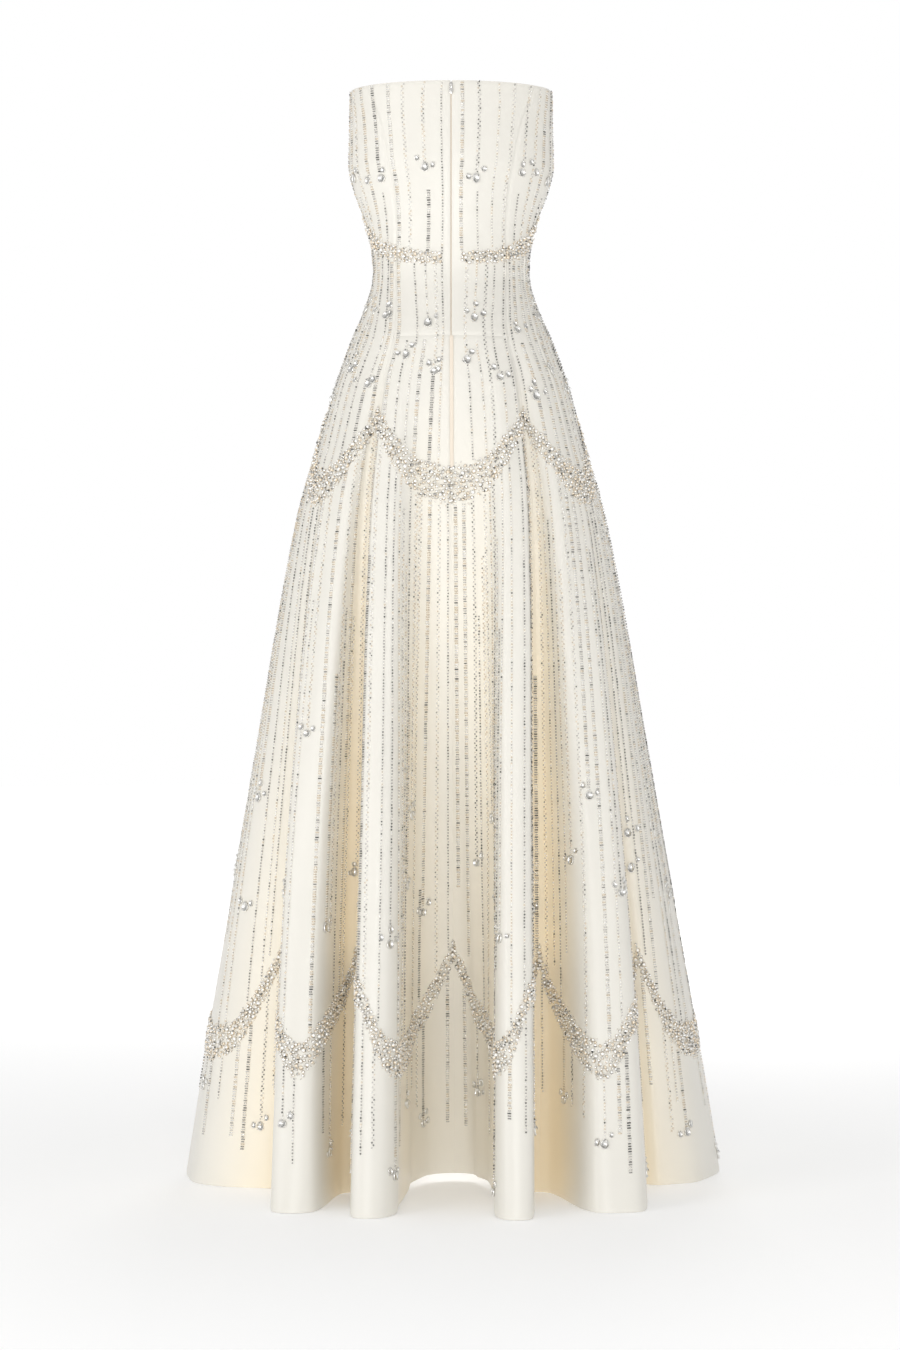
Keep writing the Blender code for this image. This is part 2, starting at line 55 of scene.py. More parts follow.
# Rings of the smooth body under the folds. seam_sway turns the princess seams towards the side.
Section = namedtuple("Section", "height half_width back front seam_sway")
SECTIONS = [Section(*row) for row in (
    (-1.243, 0.371, 0.34, 0.333, 0.0),
    (-1.09, 0.346, 0.312, 0.305, 0.0),
    (-0.868, 0.308, 0.27, 0.262, 0.0),
    (-0.646, 0.269, 0.228, 0.219, 0.0),
    (-0.424, 0.2305, 0.185, 0.174, 0.0),
    (-0.312, 0.2075, 0.161, 0.15, 0.0),
    (-0.229, 0.182, 0.143, 0.132, 0.0),
    (-0.16, 0.1625, 0.128, 0.118, -1.0),
    (-0.096, 0.14, 0.112, 0.107, -4.0),
    (-0.04, 0.1165, 0.093, 0.096, 3.0),
    (0.0, 0.107, 0.083, 0.091, 8.0),
    (0.035, 0.1095, 0.0825, 0.092, 6.0),
    (0.076, 0.1195, 0.085, 0.0965, 2.0),
    (0.118, 0.135, 0.088, 0.102, -1.0),
    (0.15, 0.1415, 0.089, 0.106, 0.0),
    (0.2, 0.1405, 0.0865, 0.106, 6.0),
    (0.254, 0.1395, 0.082, 0.101, 19.0),
)]
CUP_HEIGHT = 0.165
CUP_ANGLE = 34.0
CUP_SPREAD_ANGLE = 24.0
CUP_SPREAD_HEIGHT = 0.055
CUP_RISE = 0.020

# Ridges and valleys of the skirt, once round from the centre back by the wearer's right. angle
# and span are on the hip; side, depth, breadth and run place the fold on the hem.
Fold = namedtuple("Fold", "name angle span side depth breadth run opening lift")
FOLDS = [Fold(*row) for row in (
    ("back_valley", 0.0, 10.0, 0.004, -0.094, 0.06, 0.0, 1.4, 0.01),
    ("back_ridge_right", 31.0, 9.0, 0.085, -0.366, 0.03, 0.0, 1.0, 0.0),
    ("pleat_valley_right", BACK_SEAM, 3.0, 0.116, -0.176, 0.022, 0.0, 1.1, 0.0),
    ("side_ridge_right", 55.5, 11.0, 0.215, -0.316, 0.06, 4.0, 1.7, 0.0),
    ("side_valley_right", 66.0, 4.0, 0.27, -0.118, 0.03, -20.0, 1.6, 0.0),
    ("hip_ridge_right", 88.0, 9.0, 0.356, -0.036, 0.1, 70.0, 1.9, 0.0),
    ("front_side_valley_right", 107.0, 6.0, 0.285, 0.142, 0.05, 158.0, 1.9, 0.0),
    ("front_side_ridge_right", 122.0, 9.0, 0.212, 0.314, 0.06, 174.0, 1.8, 0.0),
    ("front_valley_right", FRONT_SEAM, 5.0, 0.124, 0.212, 0.03, 180.0, 1.3, 0.0),
    ("front_ridge_right", 152.0, 10.0, 0.089, 0.338, 0.04, 180.0, 1.2, 0.0),
    ("front_centre", 180.0, 16.0, 0.0, 0.286, 0.07, 180.0, 1.6, 0.0),
    ("front_ridge_left", 208.0, 10.0, -0.091, 0.334, 0.044, 180.0, 1.2, 0.0),
    ("front_valley_left", FULL_TURN - FRONT_SEAM, 5.0, -0.128, 0.206, 0.03, 180.0, 1.3, 0.0),
    ("front_side_ridge_left", 239.0, 9.0, -0.216, 0.318, 0.056, 186.0, 1.8, 0.0),
    ("front_side_valley_left", 254.0, 6.0, -0.286, 0.15, 0.05, 202.0, 1.9, 0.0),
    ("hip_ridge_left", 273.0, 9.0, -0.348, -0.064, 0.105, 290.0, 1.9, 0.0),
    ("side_valley_left", 297.0, 4.0, -0.236, -0.15, 0.04, 352.0, 1.6, 0.0),
    ("side_ridge_left", 308.5, 11.0, -0.204, -0.316, 0.048, 358.0, 1.7, 0.0),
    ("pleat_valley_left", FULL_TURN - BACK_SEAM, 3.0, -0.13, -0.18, 0.022, 360.0, 1.1, 0.0),
    ("back_ridge_left", 329.0, 9.0, -0.106, -0.354, 0.036, 362.0, 1.0, 0.0),
)]
HEM_STEPS = 4800
BEND_WORTH = 0.040

# Soft creases in the satin. Each runs down from top to foot, starts at a hip angle, drifts along
# the hem by its foot, and stands out by rise, or in where rise is negative.
Crease = namedtuple("Crease", "angle top foot drift breadth rise")
CREASES = [Crease(*row) for row in (
    (4.5, -0.285, -1.243, 0.02, 0.017, 0.0085),
    (-8.0, -0.33, -1.243, -0.04, 0.024, -0.005),
    (13.0, -0.3, -1.243, 0.05, 0.022, -0.006),
    (22.0, -0.42, -1.243, 0.01, 0.026, 0.006),
    (339.0, -0.34, -1.243, -0.02, 0.022, 0.0065),
    (325.5, -0.36, -1.02, 0.03, 0.016, 0.0035),
    (35.0, -0.25, -0.9, -0.02, 0.014, 0.003),
    (44.0, -0.21, -0.76, 0.03, 0.015, 0.0035),
    (49.5, -0.38, -1.243, 0.04, 0.024, -0.0055),
    (60.0, -0.3, -1.12, -0.02, 0.02, 0.004),
    (72.0, -0.27, -1.243, 0.03, 0.026, 0.006),
    (80.5, -0.46, -1.243, -0.03, 0.03, -0.006),
    (95.5, -0.33, -1.243, 0.04, 0.028, 0.0055),
    (112.5, -0.3, -1.0, 0.02, 0.018, 0.004),
    (118.0, -0.52, -1.243, -0.03, 0.026, -0.005),
    (129.0, -0.28, -1.243, 0.02, 0.02, 0.005),
    (145.5, -0.35, -1.15, -0.03, 0.018, 0.004),
    (160.0, -0.3, -1.243, 0.03, 0.026, -0.005),
    (171.0, -0.42, -1.243, -0.02, 0.03, 0.006),
    (188.5, -0.34, -1.243, 0.01, 0.024, -0.005),
    (199.0, -0.47, -1.243, 0.04, 0.028, 0.0055),
    (214.5, -0.3, -1.06, -0.03, 0.018, 0.004),
    (231.0, -0.28, -1.243, 0.02, 0.022, -0.005),
    (246.5, -0.36, -1.243, -0.02, 0.024, 0.0055),
    (262.0, -0.31, -1.243, 0.04, 0.03, -0.006),
    (281.0, -0.29, -1.243, -0.04, 0.028, 0.0065),
    (290.0, -0.44, -1.243, 0.02, 0.024, -0.005),
    (302.5, -0.33, -1.18, 0.02, 0.018, 0.0045),
    (314.5, -0.22, -0.84, -0.03, 0.016, 0.0035),
    (-30.0, -0.13, -0.33, 0.0, 0.009, 0.0011),
    (-22.0, -0.11, -0.27, 0.004, 0.008, -0.0009),
    (19.0, -0.115, -0.29, 0.0, 0.008, -0.001),
    (28.0, -0.125, -0.34, -0.004, 0.01, 0.0012),
    (52.0, -0.06, -0.25, 0.006, 0.01, 0.0014),
    (68.0, -0.05, -0.23, -0.004, 0.009, -0.0011),
    (84.0, -0.03, -0.24, 0.002, 0.011, 0.0013),
    (101.0, -0.05, -0.26, 0.004, 0.01, -0.0012),
    (150.0, -0.11, -0.28, 0.0, 0.009, 0.0011),
    (204.0, -0.12, -0.3, 0.002, 0.01, -0.0011),
    (256.0, -0.05, -0.25, -0.002, 0.01, 0.0013),
    (276.0, -0.04, -0.24, 0.004, 0.009, -0.0011),
    (293.0, -0.06, -0.26, -0.004, 0.01, 0.0014),
    (310.0, -0.05, -0.22, 0.002, 0.009, -0.001),
)]

# Drag lines across the bodice, where the satin is pulled in at the waist. tilt is how much one
# climbs for each metre round, and reach how far it goes each way.
Drag = namedtuple("Drag", "angle height reach tilt breadth rise")
DRAGS = [Drag(*row) for row in (
    (60.0, 0.018, 0.03, 0.3, 0.007, 0.0009),
    (72.0, -0.01, 0.036, 0.1, 0.006, 0.0011),
    (95.0, 0.006, 0.034, -0.15, 0.0065, 0.001),
    (82.0, 0.04, 0.028, 0.45, 0.008, 0.0007),
    (128.0, 0.012, 0.03, -0.25, 0.007, 0.0009),
    (150.0, 0.1, 0.034, 0.5, 0.011, 0.0008),
    (180.0, 0.02, 0.036, 0.0, 0.0075, 0.0008),
    (208.0, 0.104, 0.034, -0.55, 0.011, 0.0008),
    (226.0, 0.0, 0.03, 0.2, 0.0065, 0.0009),
    (258.0, 0.022, 0.036, -0.2, 0.007, 0.001),
    (281.0, -0.006, 0.034, -0.1, 0.006, 0.0011),
    (299.0, 0.026, 0.03, -0.35, 0.0075, 0.0009),
    (22.0, 0.006, 0.02, 0.2, 0.006, 0.0005),
    (337.0, -0.004, 0.02, -0.15, 0.006, 0.0005),
)]


def hermite(knots, values, tangent, at):
    """A cubic curve through the values with these tangents, read at the given places."""
    i = np.clip(np.searchsorted(knots, at, side="right") - 1, 0, len(knots) - 2)
    step = knots[i + 1] - knots[i]
    t = (at - knots[i]) / step
    return (
        (2 * t**3 - 3 * t**2 + 1) * values[i]
        + (t**3 - 2 * t**2 + t) * step * tangent[i]
        + (3 * t**2 - 2 * t**3) * values[i + 1]
        + (t**3 - t**2) * step * tangent[i + 1]
    )


def smooth_between(knots, values, at):
    """Values read between the knots on a curve that never overshoots them."""
    slope = np.diff(values) / np.diff(knots)
    before, after = slope[:-1], slope[1:]
    same_way = before * after > 0
    mean = 2.0 * before * after / np.where(same_way, before + after, 1.0)
    tangent = np.concatenate([slope[:1], np.where(same_way, mean, 0.0), slope[-1:]])
    return hermite(knots, values, tangent, at)


SECTION_COLUMNS = dict(zip(Section._fields, np.array(SECTIONS).T))


def section_value(column, height):
    """One column of the section table at any height."""
    return smooth_between(SECTION_COLUMNS["height"], SECTION_COLUMNS[column], height)


def hem_line():
    """The hem as a table of length, place, hip angle, opening and lift, worked out from the folds."""
    rows = []
    for turn in (-1, 0, 1):
        for fold in FOLDS:
            for end in (-0.5, 0.5):
                x = fold.side + end * fold.breadth * math.cos(math.radians(fold.run))
                y = fold.depth + end * fold.breadth * math.sin(math.radians(fold.run))
                rows.append((x, y, fold.angle + end * fold.span + turn * FULL_TURN, fold.opening, fold.lift))
    x, y, angle, opening, lift = np.array(rows).T
    along = np.concatenate([[0.0], np.cumsum(np.hypot(np.diff(x), np.diff(y)) ** 0.5)])
    fine = np.linspace(along[0], along[-1], HEM_STEPS + 1)
    step = np.diff(along)
    line = {}
    for name, values in (("x", x), ("y", y)):
        slope = np.diff(values) / step
        inner = (step[1:] * slope[:-1] + step[:-1] * slope[1:]) / (step[1:] + step[:-1])
        line[name] = hermite(along, values, np.concatenate([[0.0], inner, [0.0]]), fine)
    for name, values in (("angle", angle), ("opening", opening), ("lift", lift)):
        line[name] = smooth_between(along, values, fine)
    step_x, step_y = np.diff(line["x"]), np.diff(line["y"])
    length = np.concatenate([[0.0], np.cumsum(np.hypot(step_x, step_y))])
    line["length"] = length - np.interp(0.0, line["angle"], length)
    turned = np.abs(np.diff(np.unwrap(np.arctan2(step_y, step_x))))
    line["worth"] = line["length"] + BEND_WORTH * np.concatenate([[0.0, 0.0], np.cumsum(turned)])
    return line


HEM = hem_line()


def length_at(angle):
    """How far along the hem the thread lies that leaves the hip at this angle."""
    return np.interp(angle, HEM["angle"], HEM["length"])


def angle_at(length):
    """The hip angle at which this thread leaves the hip."""
    return np.interp(length, HEM["length"], HEM["angle"])


HEM_LENGTH = float(length_at(FULL_TURN))


def body_ring(angle, height):
    """The smooth body at a height: x and y at each angle, 0 at the centre back and 90 on the right."""
    turned = np.radians(angle + section_value("seam_sway", height) * np.sin(2.0 * np.radians(angle)))
    sine, cosine = np.sin(turned), np.cos(turned)
    depth = np.where(cosine > 0.0, section_value("back", height), section_value("front", height))
    cup = 0.0
    for centre in (180.0 - CUP_ANGLE, 180.0 + CUP_ANGLE):
        aside = (np.mod(angle, FULL_TURN) - centre) / CUP_SPREAD_ANGLE
        above = (height - CUP_HEIGHT) / CUP_SPREAD_HEIGHT
        cup = cup + CUP_RISE * np.exp(-(aside**2) - above**2)
    return (section_value("half_width", height) + cup) * sine, -(depth + cup) * cosine


def pressed_cloth(length, height):
    """The outer face of the satin without its soft creases, at a thread and a height."""
    length, height = np.broadcast_arrays(np.asarray(length, float), np.asarray(height, float))
    angle = angle_at(length)
    drop = np.clip((WAIST_SEAM_HEIGHT - height) / (WAIST_SEAM_HEIGHT - HEM_HEIGHT), 0.0, 1.0)
    share = drop ** np.interp(length, HEM["length"], HEM["opening"])
    x, y = body_ring(angle, height)
    hem_x, hem_y = body_ring(angle, np.full_like(height, HEM_HEIGHT))
    x = x + share * (np.interp(length, HEM["length"], HEM["x"]) - hem_x)
    y = y + share * (np.interp(length, HEM["length"], HEM["y"]) - hem_y)
    lift = np.interp(length, HEM["length"], HEM["lift"])
    return np.stack([x, y, height + lift * drop**2], axis=-1)


THREAD_STEP = 0.0015


def steps_on(surface, length, height):
    """How the surface runs across the threads and up them, for each metre of hem and of height."""
    across = surface(length + THREAD_STEP, height) - surface(length - THREAD_STEP, height)
    up = surface(length, height + THREAD_STEP) - surface(length, height - THREAD_STEP)
    return across / (2 * THREAD_STEP), up / (2 * THREAD_STEP)


def unit(vectors):
    return vectors / np.linalg.norm(vectors, axis=-1, keepdims=True)


def crease_rise(length, height, spread):
    """How far the soft creases and drag lines lift the satin. spread is cloth across for a metre of hem."""
    rise = np.zeros_like(spread)
    for crease in CREASES:
        share = np.clip((crease.top - height) / (crease.top - crease.foot), 0.0, 1.0)
        aside = length - length_at(crease.angle) - crease.drift * share
        aside = (aside + HEM_LENGTH / 2) % HEM_LENGTH - HEM_LENGTH / 2
        fade = np.sin(0.5 * math.pi * share) if crease.foot == HEM_HEIGHT else np.sin(math.pi * share)
        rise += crease.rise * fade * np.exp(-((aside * spread / crease.breadth) ** 2))
    for drag in DRAGS:
        aside = (length - length_at(drag.angle) + HEM_LENGTH / 2) % HEM_LENGTH - HEM_LENGTH / 2
        along = aside * spread
        off = height - drag.height - drag.tilt * along
        rise += drag.rise * np.exp(-((along / drag.reach) ** 2) - (off / drag.breadth) ** 2)
    return rise


HEM_EASE = 0.050


def satin_face(length, height, raised=0.0):
    """The outer face of the satin with its soft creases, or a face raised over it, level at the hem."""
    length, height = np.broadcast_arrays(np.asarray(length, float), np.asarray(height, float))
    across, up = steps_on(pressed_cloth, length, height)
    rise = raised + crease_rise(length, height, np.linalg.norm(across, axis=-1))
    out = unit(np.cross(across, up))
    out[..., 2] *= np.clip((height - HEM_HEIGHT) / HEM_EASE, 0.0, 1.0)
    return pressed_cloth(length, height) + out * np.asarray(rise)[..., None]


SATIN_THICKNESS = 0.0012
COLUMN_WIDTH = 0.0150
EDGE_COLUMNS = (0.0, 0.005, 0.011, 0.018, 0.026)
EDGE_ROOM = 1.4
BODICE_ROW = 0.0125
SKIRT_ROW = 0.0200
EDGE_ROWS = (0.0, 0.0012, 0.0030, 0.0060)
SEAM_DITCH = 0.0009
DITCH_BREADTH = 0.0024
ZIP_SLOT = 0.0015
ZIP_SLOT_TAPER = 0.012
ZIP_SLOT_FADE = 0.006
CLOTH_SMOOTH = math.radians(50.0)


def row_heights(foot, top, step):
    """Heights of the rows of points, closer together at both edges."""
    even = np.linspace(foot + step, top - step, int(round((top - foot) / step)) - 1)
    near = np.array(EDGE_ROWS)
    return np.concatenate([foot + near, even, (top - near)[::-1]])


CLOTH_ROWS = np.concatenate([
    row_heights(HEM_HEIGHT, WAIST_SEAM_HEIGHT, SKIRT_ROW),
    row_heights(WAIST_SEAM_HEIGHT, NECK_HEIGHT, BODICE_ROW)[1:],
])


def threads(first, last):
    """Threads between two hip angles, closer together where the hem bends and at both seams."""
    start, end = np.interp((first, last), HEM["angle"], HEM["worth"])
    even = np.linspace(start, end, math.ceil((end - start) / COLUMN_WIDTH) + 1)
    inner = np.interp(even, HEM["worth"], HEM["length"])
    near = np.array(EDGE_COLUMNS)
    left, right = length_at(first), length_at(last)
    room = near[-1] * EDGE_ROOM
    inner = inner[(inner > left + room) & (inner < right - room)]
    return np.concatenate([left + near, inner, (right - near)[::-1]])


def feed(node, inputs):
    """Sets each named input of a node to a value, or joins another node's output to it."""
    for name, value in inputs.items():
        if isinstance(value, bpy.types.NodeSocket):
            node.id_data.links.new(value, node.inputs[name])
        else:
            node.inputs[name].default_value = value


def add_node(tree, kind, output, inputs=None, **settings):
    """Adds a node with its settings and inputs, and gives its named output."""
    node = tree.nodes.new("ShaderNode" + kind)
    for name, value in settings.items():
        setattr(node, name, value)
    feed(node, inputs or {})
    return node.outputs[output]


def new_material(name, inputs):
    """A material with these values on its shader, its nodes, and the shader."""
    made = bpy.data.materials.new(name)
    made.use_nodes = True
    shader = made.node_tree.nodes["Principled BSDF"]
    feed(shader, inputs)
    return made, made.node_tree, shader


def satin_cloth(name, colour, painted_fold_light_colour, roughness, sheen):
    """Heavy satin: a fine crosswise rib, slubs, soft mottling, and painted warm bounce light deep in the
    folds, in a colour of its own.
    """
    made, tree, shader = new_material(name, {
        "Roughness": roughness, "Specular IOR Level": 0.45,
        "Sheen Weight": sheen, "Sheen Roughness": 0.45, "Sheen Tint": (1.0, 0.96, 0.90, 1.0),
    })
    lay = add_node(tree, "UVMap", "UV", uv_map="lay")
    place = add_node(tree, "TexCoord", "Object")
    rib = add_node(
        tree, "TexWave", "Fac", {"Vector": lay, "Scale": 430.0, "Distortion": 0.6}, bands_direction="Y"
    )
    stretch = add_node(tree, "Mapping", "Vector", {"Vector": lay, "Scale": (55.0, 900.0, 1.0)})
    slub = add_node(tree, "TexNoise", "Fac", {"Vector": stretch, "Scale": 1.0, "Detail": 3.0})
    mottle = add_node(tree, "TexNoise", "Fac", {"Vector": place, "Scale": 9.0, "Detail": 4.0})
    crumple = add_node(tree, "TexNoise", "Fac", {"Vector": place, "Scale": 26.0, "Detail": 2.0})

    # Painted warm bounce light: how deep in the folds this point lies, read from the cloth sheet's
    # attribute.
    depth = add_node(tree, "Attribute", "Fac", attribute_name="painted_fold_light")
    tone = add_node(tree, "Mix", "Result", {
        "Factor": depth, "A": (*colour, 1.0), "B": (*painted_fold_light_colour, 1.0),
    }, data_type="RGBA")
    spots = add_node(tree, "MapRange", "Result", {
        "Value": mottle, "From Min": 0.3, "From Max": 0.7, "To Min": 0.975, "To Max": 1.0,
    })
    faded = add_node(tree, "VectorMath", "Vector", {"Vector": tone, "Scale": spots}, operation="SCALE")
    rough = add_node(tree, "MapRange", "Result", {
        "Value": slub, "To Min": roughness - 0.05, "To Max": roughness + 0.07,
    })
    feed(shader, {"Base Color": faded, "Roughness": rough})

    normal = {}
    for height, strength, distance in (
        (crumple, 0.25, 0.0016), (slub, 0.30, 0.00012), (rib, 0.25, 0.00008),
    ):
        relief = {"Height": height, "Strength": strength, "Distance": distance}
        normal = {"Normal": add_node(tree, "Bump", "Normal", {**relief, **normal})}
    feed(shader, normal)
    return made


# Each satin's second colour is painted warm bounce light deep in the folds. On the ivory satin it is
# brighter than the crests, to lift the shade there.
ivory_satin = satin_cloth("ivory_satin", (0.768, 0.744, 0.682), (0.985, 0.875, 0.675), 0.37, 0.12)
satin_wrong_side = satin_cloth("satin_wrong_side", (0.88, 0.85, 0.79), (0.90, 0.82, 0.70), 0.62, 0.05)


# Where the painted warm bounce light goes: it starts FOLD_START in from the smooth body, is full FOLD_FULL
# in, and is cut back near the centre back.
FOLD_START = 0.03
FOLD_FULL = 0.24
CENTRE_FOLD_LIGHT_CUT = 0.80
CENTRE_BREADTH = 20.0


def from_centre_back(angle):
    """Degrees from the centre back, either way round."""
    return np.abs((angle + FULL_TURN / 2) % FULL_TURN - FULL_TURN / 2)


def painted_fold_light(length, height):
    """How much painted warm bounce light the satin gets: from 0 on the crests to 1 deep in the folds, less
    in the pale fold of the centre back.
    """
    points = pressed_cloth(length, height)
    back = points[..., 1] < 0.0
    deep = np.where(back, section_value("back", height), section_value("front", height))
    out = np.hypot(points[..., 0] / section_value("half_width", height), points[..., 1] / deep)
    sunk = np.clip((1.0 - out - FOLD_START) / FOLD_FULL, 0.0, 1.0)
    aside = from_centre_back(angle_at(length))
    return sunk * (1.0 - CENTRE_FOLD_LIGHT_CUT * np.exp(-((aside / CENTRE_BREADTH) ** 2)))


def apply_modifier(piece, kind, **settings):
    """Adds a modifier to the active piece, and applies it."""
    bpy.ops.object.modifier_add(type=kind)
    made = piece.modifiers[-1]
    for name, value in settings.items():
        setattr(made, name, value)
    bpy.ops.object.modifier_apply(modifier=made.name)


def cloth_sheet(name, lengths, heights, points, thickness, looks):
    """A thin sheet through a grid of points, with its threads and heights as its own UV map."""
    rows, columns = lengths.shape
    bpy.ops.mesh.primitive_grid_add(x_subdivisions=columns - 1, y_subdivisions=rows - 1, size=1.0)
    sheet = bpy.context.object
    sheet.name = name
    sheet.data.name = name
    sheet.data.vertices.foreach_set("co", points.ravel())
    sheet.data.uv_layers.active.name = "lay"
    corners = np.empty(len(sheet.data.loops), int)
    sheet.data.loops.foreach_get("vertex_index", corners)
    lay = np.stack([lengths.ravel()[corners], heights.ravel()[corners]], axis=-1)
    sheet.data.uv_layers.active.data.foreach_set("uv", lay.ravel())
    # The painted warm bounce light of the folds, kept on the sheet for its material.
    depth = sheet.data.attributes.new("painted_fold_light", "FLOAT", "POINT")
    depth.data.foreach_set("value", painted_fold_light(lengths, heights).ravel())
    sheet.data.update()
    for look in looks:
        sheet.data.materials.append(look)
    apply_modifier(sheet, "SOLIDIFY", thickness=thickness, offset=-1.0, material_offset=len(looks) - 1)
    bpy.ops.object.shade_smooth_by_angle(angle=CLOTH_SMOOTH)
    sheet.select_set(False)
    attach(sheet, "gown")
    return sheet


Panel = namedtuple("Panel", "node first last top foot flat area zip_edge", defaults=(None,))


def cut_panel(panel):
    """One cut piece of satin, laid over the form, with its edges turned in and its wrong side inside."""
    rows = CLOTH_ROWS[(CLOTH_ROWS >= panel.foot) & (CLOTH_ROWS <= panel.top)]
    lengths, heights = np.meshgrid(threads(panel.first, panel.last), rows)
    pressed = pressed_cloth(lengths, heights)
    ditch = np.zeros_like(lengths)
    for edge in (0, -1):
        away = np.linalg.norm(pressed - pressed[:, edge, None], axis=-1)
        ditch -= SEAM_DITCH * np.exp(-((away / DITCH_BREADTH) ** 2))
    for edge in (panel.foot, panel.top):
        ditch -= SEAM_DITCH * np.exp(-(((heights - edge) / DITCH_BREADTH) ** 2))
    points = satin_face(lengths, heights, ditch)
    if panel.zip_edge is not None:
        slot = 0.5 * ZIP_SLOT * np.clip((rows - ZIP_END_HEIGHT) / ZIP_SLOT_TAPER, 0.0, 1.0)
        across = unit(pressed[:, 3 if panel.zip_edge == 0 else -4] - pressed[:, panel.zip_edge])
        away = np.linalg.norm(pressed - pressed[:, panel.zip_edge, None], axis=-1)
        points += across[:, None] * (slot[:, None] * np.exp(-away / ZIP_SLOT_FADE))[..., None]
    looks = (ivory_satin, satin_wrong_side)
    made = cloth_sheet(
        "satin_" + panel.node, lengths, heights, points, SATIN_THICKNESS, looks
    )
    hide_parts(panel.node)


BACK_SEAM_LEFT = FULL_TURN - BACK_SEAM
FRONT_SEAM_LEFT = FULL_TURN - FRONT_SEAM
BODICE = (NECK_HEIGHT, WAIST_SEAM_HEIGHT)
BODICE_BACKS = (
    Panel("bodice_back_right", 0.0, BACK_SEAM, *BODICE, (0.124, 0.366), 0.0319, 0),
    Panel("bodice_back_left", BACK_SEAM_LEFT, FULL_TURN, *BODICE, (0.124, 0.366), 0.0319, -1),
)
for panel in BODICE_BACKS:
    cut_panel(panel)

# Front of the bodice: one panel between the princess seams, of the same satin.
# It is cut with room for the cups and joined to the side fronts down to the waist seam.
BODICE_FRONT = Panel("bodice_front", FRONT_SEAM, FRONT_SEAM_LEFT, *BODICE, (0.276, 0.372), 0.0729)
cut_panel(BODICE_FRONT)

# Side backs and side fronts: four long panels, each cut in one from the neck edge to the hem.
# They flare from the hip, so that most of the skirt's fullness is theirs.
SIDE = (NECK_HEIGHT, HEM_HEIGHT)
SIDE_SEAM = 90.0
SIDE_PANELS = (
    Panel("side_back_right", BACK_SEAM, SIDE_SEAM, *SIDE, (0.606, 1.533), 0.400),
    Panel("side_front_right", SIDE_SEAM, FRONT_SEAM, *SIDE, (0.580, 1.541), 0.3685),
    Panel("side_front_left", FRONT_SEAM_LEFT, FULL_TURN - SIDE_SEAM, *SIDE, (0.599, 1.548), 0.3725),
    Panel("side_back_left", FULL_TURN - SIDE_SEAM, BACK_SEAM_LEFT, *SIDE, (0.583, 1.532), 0.400),
)
for panel in SIDE_PANELS:
    cut_panel(panel)

# Skirt backs and skirt front: gores that hang from the dropped waist seam, and meet at the centre
# back in a deep soft fold. A narrow lap of cream satin covers the zip from the waist seam down to
# the hip band, and is folded and stitched to the right back.
LAP_TOP = WAIST_SEAM_HEIGHT - 0.0015
LAP_FOOT = -0.279
LAP_EDGES = (-0.0016, 0.0030)
LAP_RISE = 0.0011
LAP_ROLL = 0.0004
LAP_THICKNESS = 0.0009
lap_satin = satin_cloth("lap_satin", (0.78, 0.69, 0.58), (0.78, 0.69, 0.58), 0.45, 0.10)


def laid_strip(name, across, heights, raised, thickness, look):
    """A narrow strip along the zip that follows the satin, raised over it or sunk behind it."""
    spread = np.linalg.norm(steps_on(pressed_cloth, np.zeros_like(heights), heights)[0], axis=-1)
    lengths, heights = np.broadcast_arrays(across / spread[:, None], heights[:, None])
    points = satin_face(lengths, heights, raised)
    return cloth_sheet(name, lengths, heights, points, thickness, (look,))


zip_lap = laid_strip(
    "zip_lap", np.linspace(*LAP_EDGES, 7), np.linspace(LAP_FOOT, LAP_TOP, 44),
    LAP_RISE - LAP_ROLL * np.linspace(-1.0, 1.0, 7) ** 4, LAP_THICKNESS, lap_satin,
)
SKIRT = (WAIST_SEAM_HEIGHT, HEM_HEIGHT)
SKIRT_PANELS = (
    Panel("skirt_back_right", 0.0, BACK_SEAM, *SKIRT, (0.548, 1.160), 0.334, 0),
    Panel("skirt_back_left", BACK_SEAM_LEFT, FULL_TURN, *SKIRT, (0.532, 1.158), 0.329, -1),
    Panel("skirt_front", FRONT_SEAM, FRONT_SEAM_LEFT, *SKIRT, (0.574, 1.160), 0.448),
)
for panel in SKIRT_PANELS:
    cut_panel(panel)

# Zip tape: two narrow woven tapes behind the slot, from just under the neck edge to the upper hip.
# They are stitched to the turned edges of the back panels, and carry a nylon coil on their inner side.
TAPE_HALF_WIDTH = 0.012
TAPE_DEPTH = 0.0018
TAPE_THICKNESS = 0.0008
TAPE_BELOW_NECK = 0.0020
COIL_PITCH = 0.0016
COIL_SIZE = (0.0034, 0.0008, 0.0010)
COIL_ENDS = (0.004, 0.006)
COIL_ROOM = 0.0003


def blended(tree, share, low, high):
    """A colour between two, by a pattern that goes from 0 to 1."""
    mixed = add_node(tree, "ValToRGB", "Color", {"Fac": share})
    ends = mixed.node.color_ramp.elements
    ends[0].color = low
    ends[1].color = high
    return mixed


def tape_weave():
    """Cream herringbone tape, matt and warm."""
    made, tree, shader = new_material("zip_tape_cream", {"Roughness": 0.7})
    lay = add_node(tree, "UVMap", "UV", uv_map="lay")
    twill = add_node(tree, "TexWave", "Fac", {"Vector": lay, "Scale": 260.0}, bands_direction="DIAGONAL")
    relief = add_node(tree, "Bump", "Normal", {"Height": twill, "Distance": 0.0002})
    colour = blended(tree, twill, (0.62, 0.50, 0.39, 1.0), (0.76, 0.66, 0.53, 1.0))
    feed(shader, {"Base Color": colour, "Normal": relief})
    return made


zip_tape = laid_strip(
    "zip_tapes", np.linspace(-TAPE_HALF_WIDTH, TAPE_HALF_WIDTH, 9),
    np.linspace(ZIP_END_HEIGHT, NECK_HEIGHT - TAPE_BELOW_NECK, 70),
    -TAPE_DEPTH, TAPE_THICKNESS, tape_weave(),
)
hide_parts("zip_tape")


def pattern_points(pattern):
    return np.array([v.co for v in pattern.data.vertices], float)


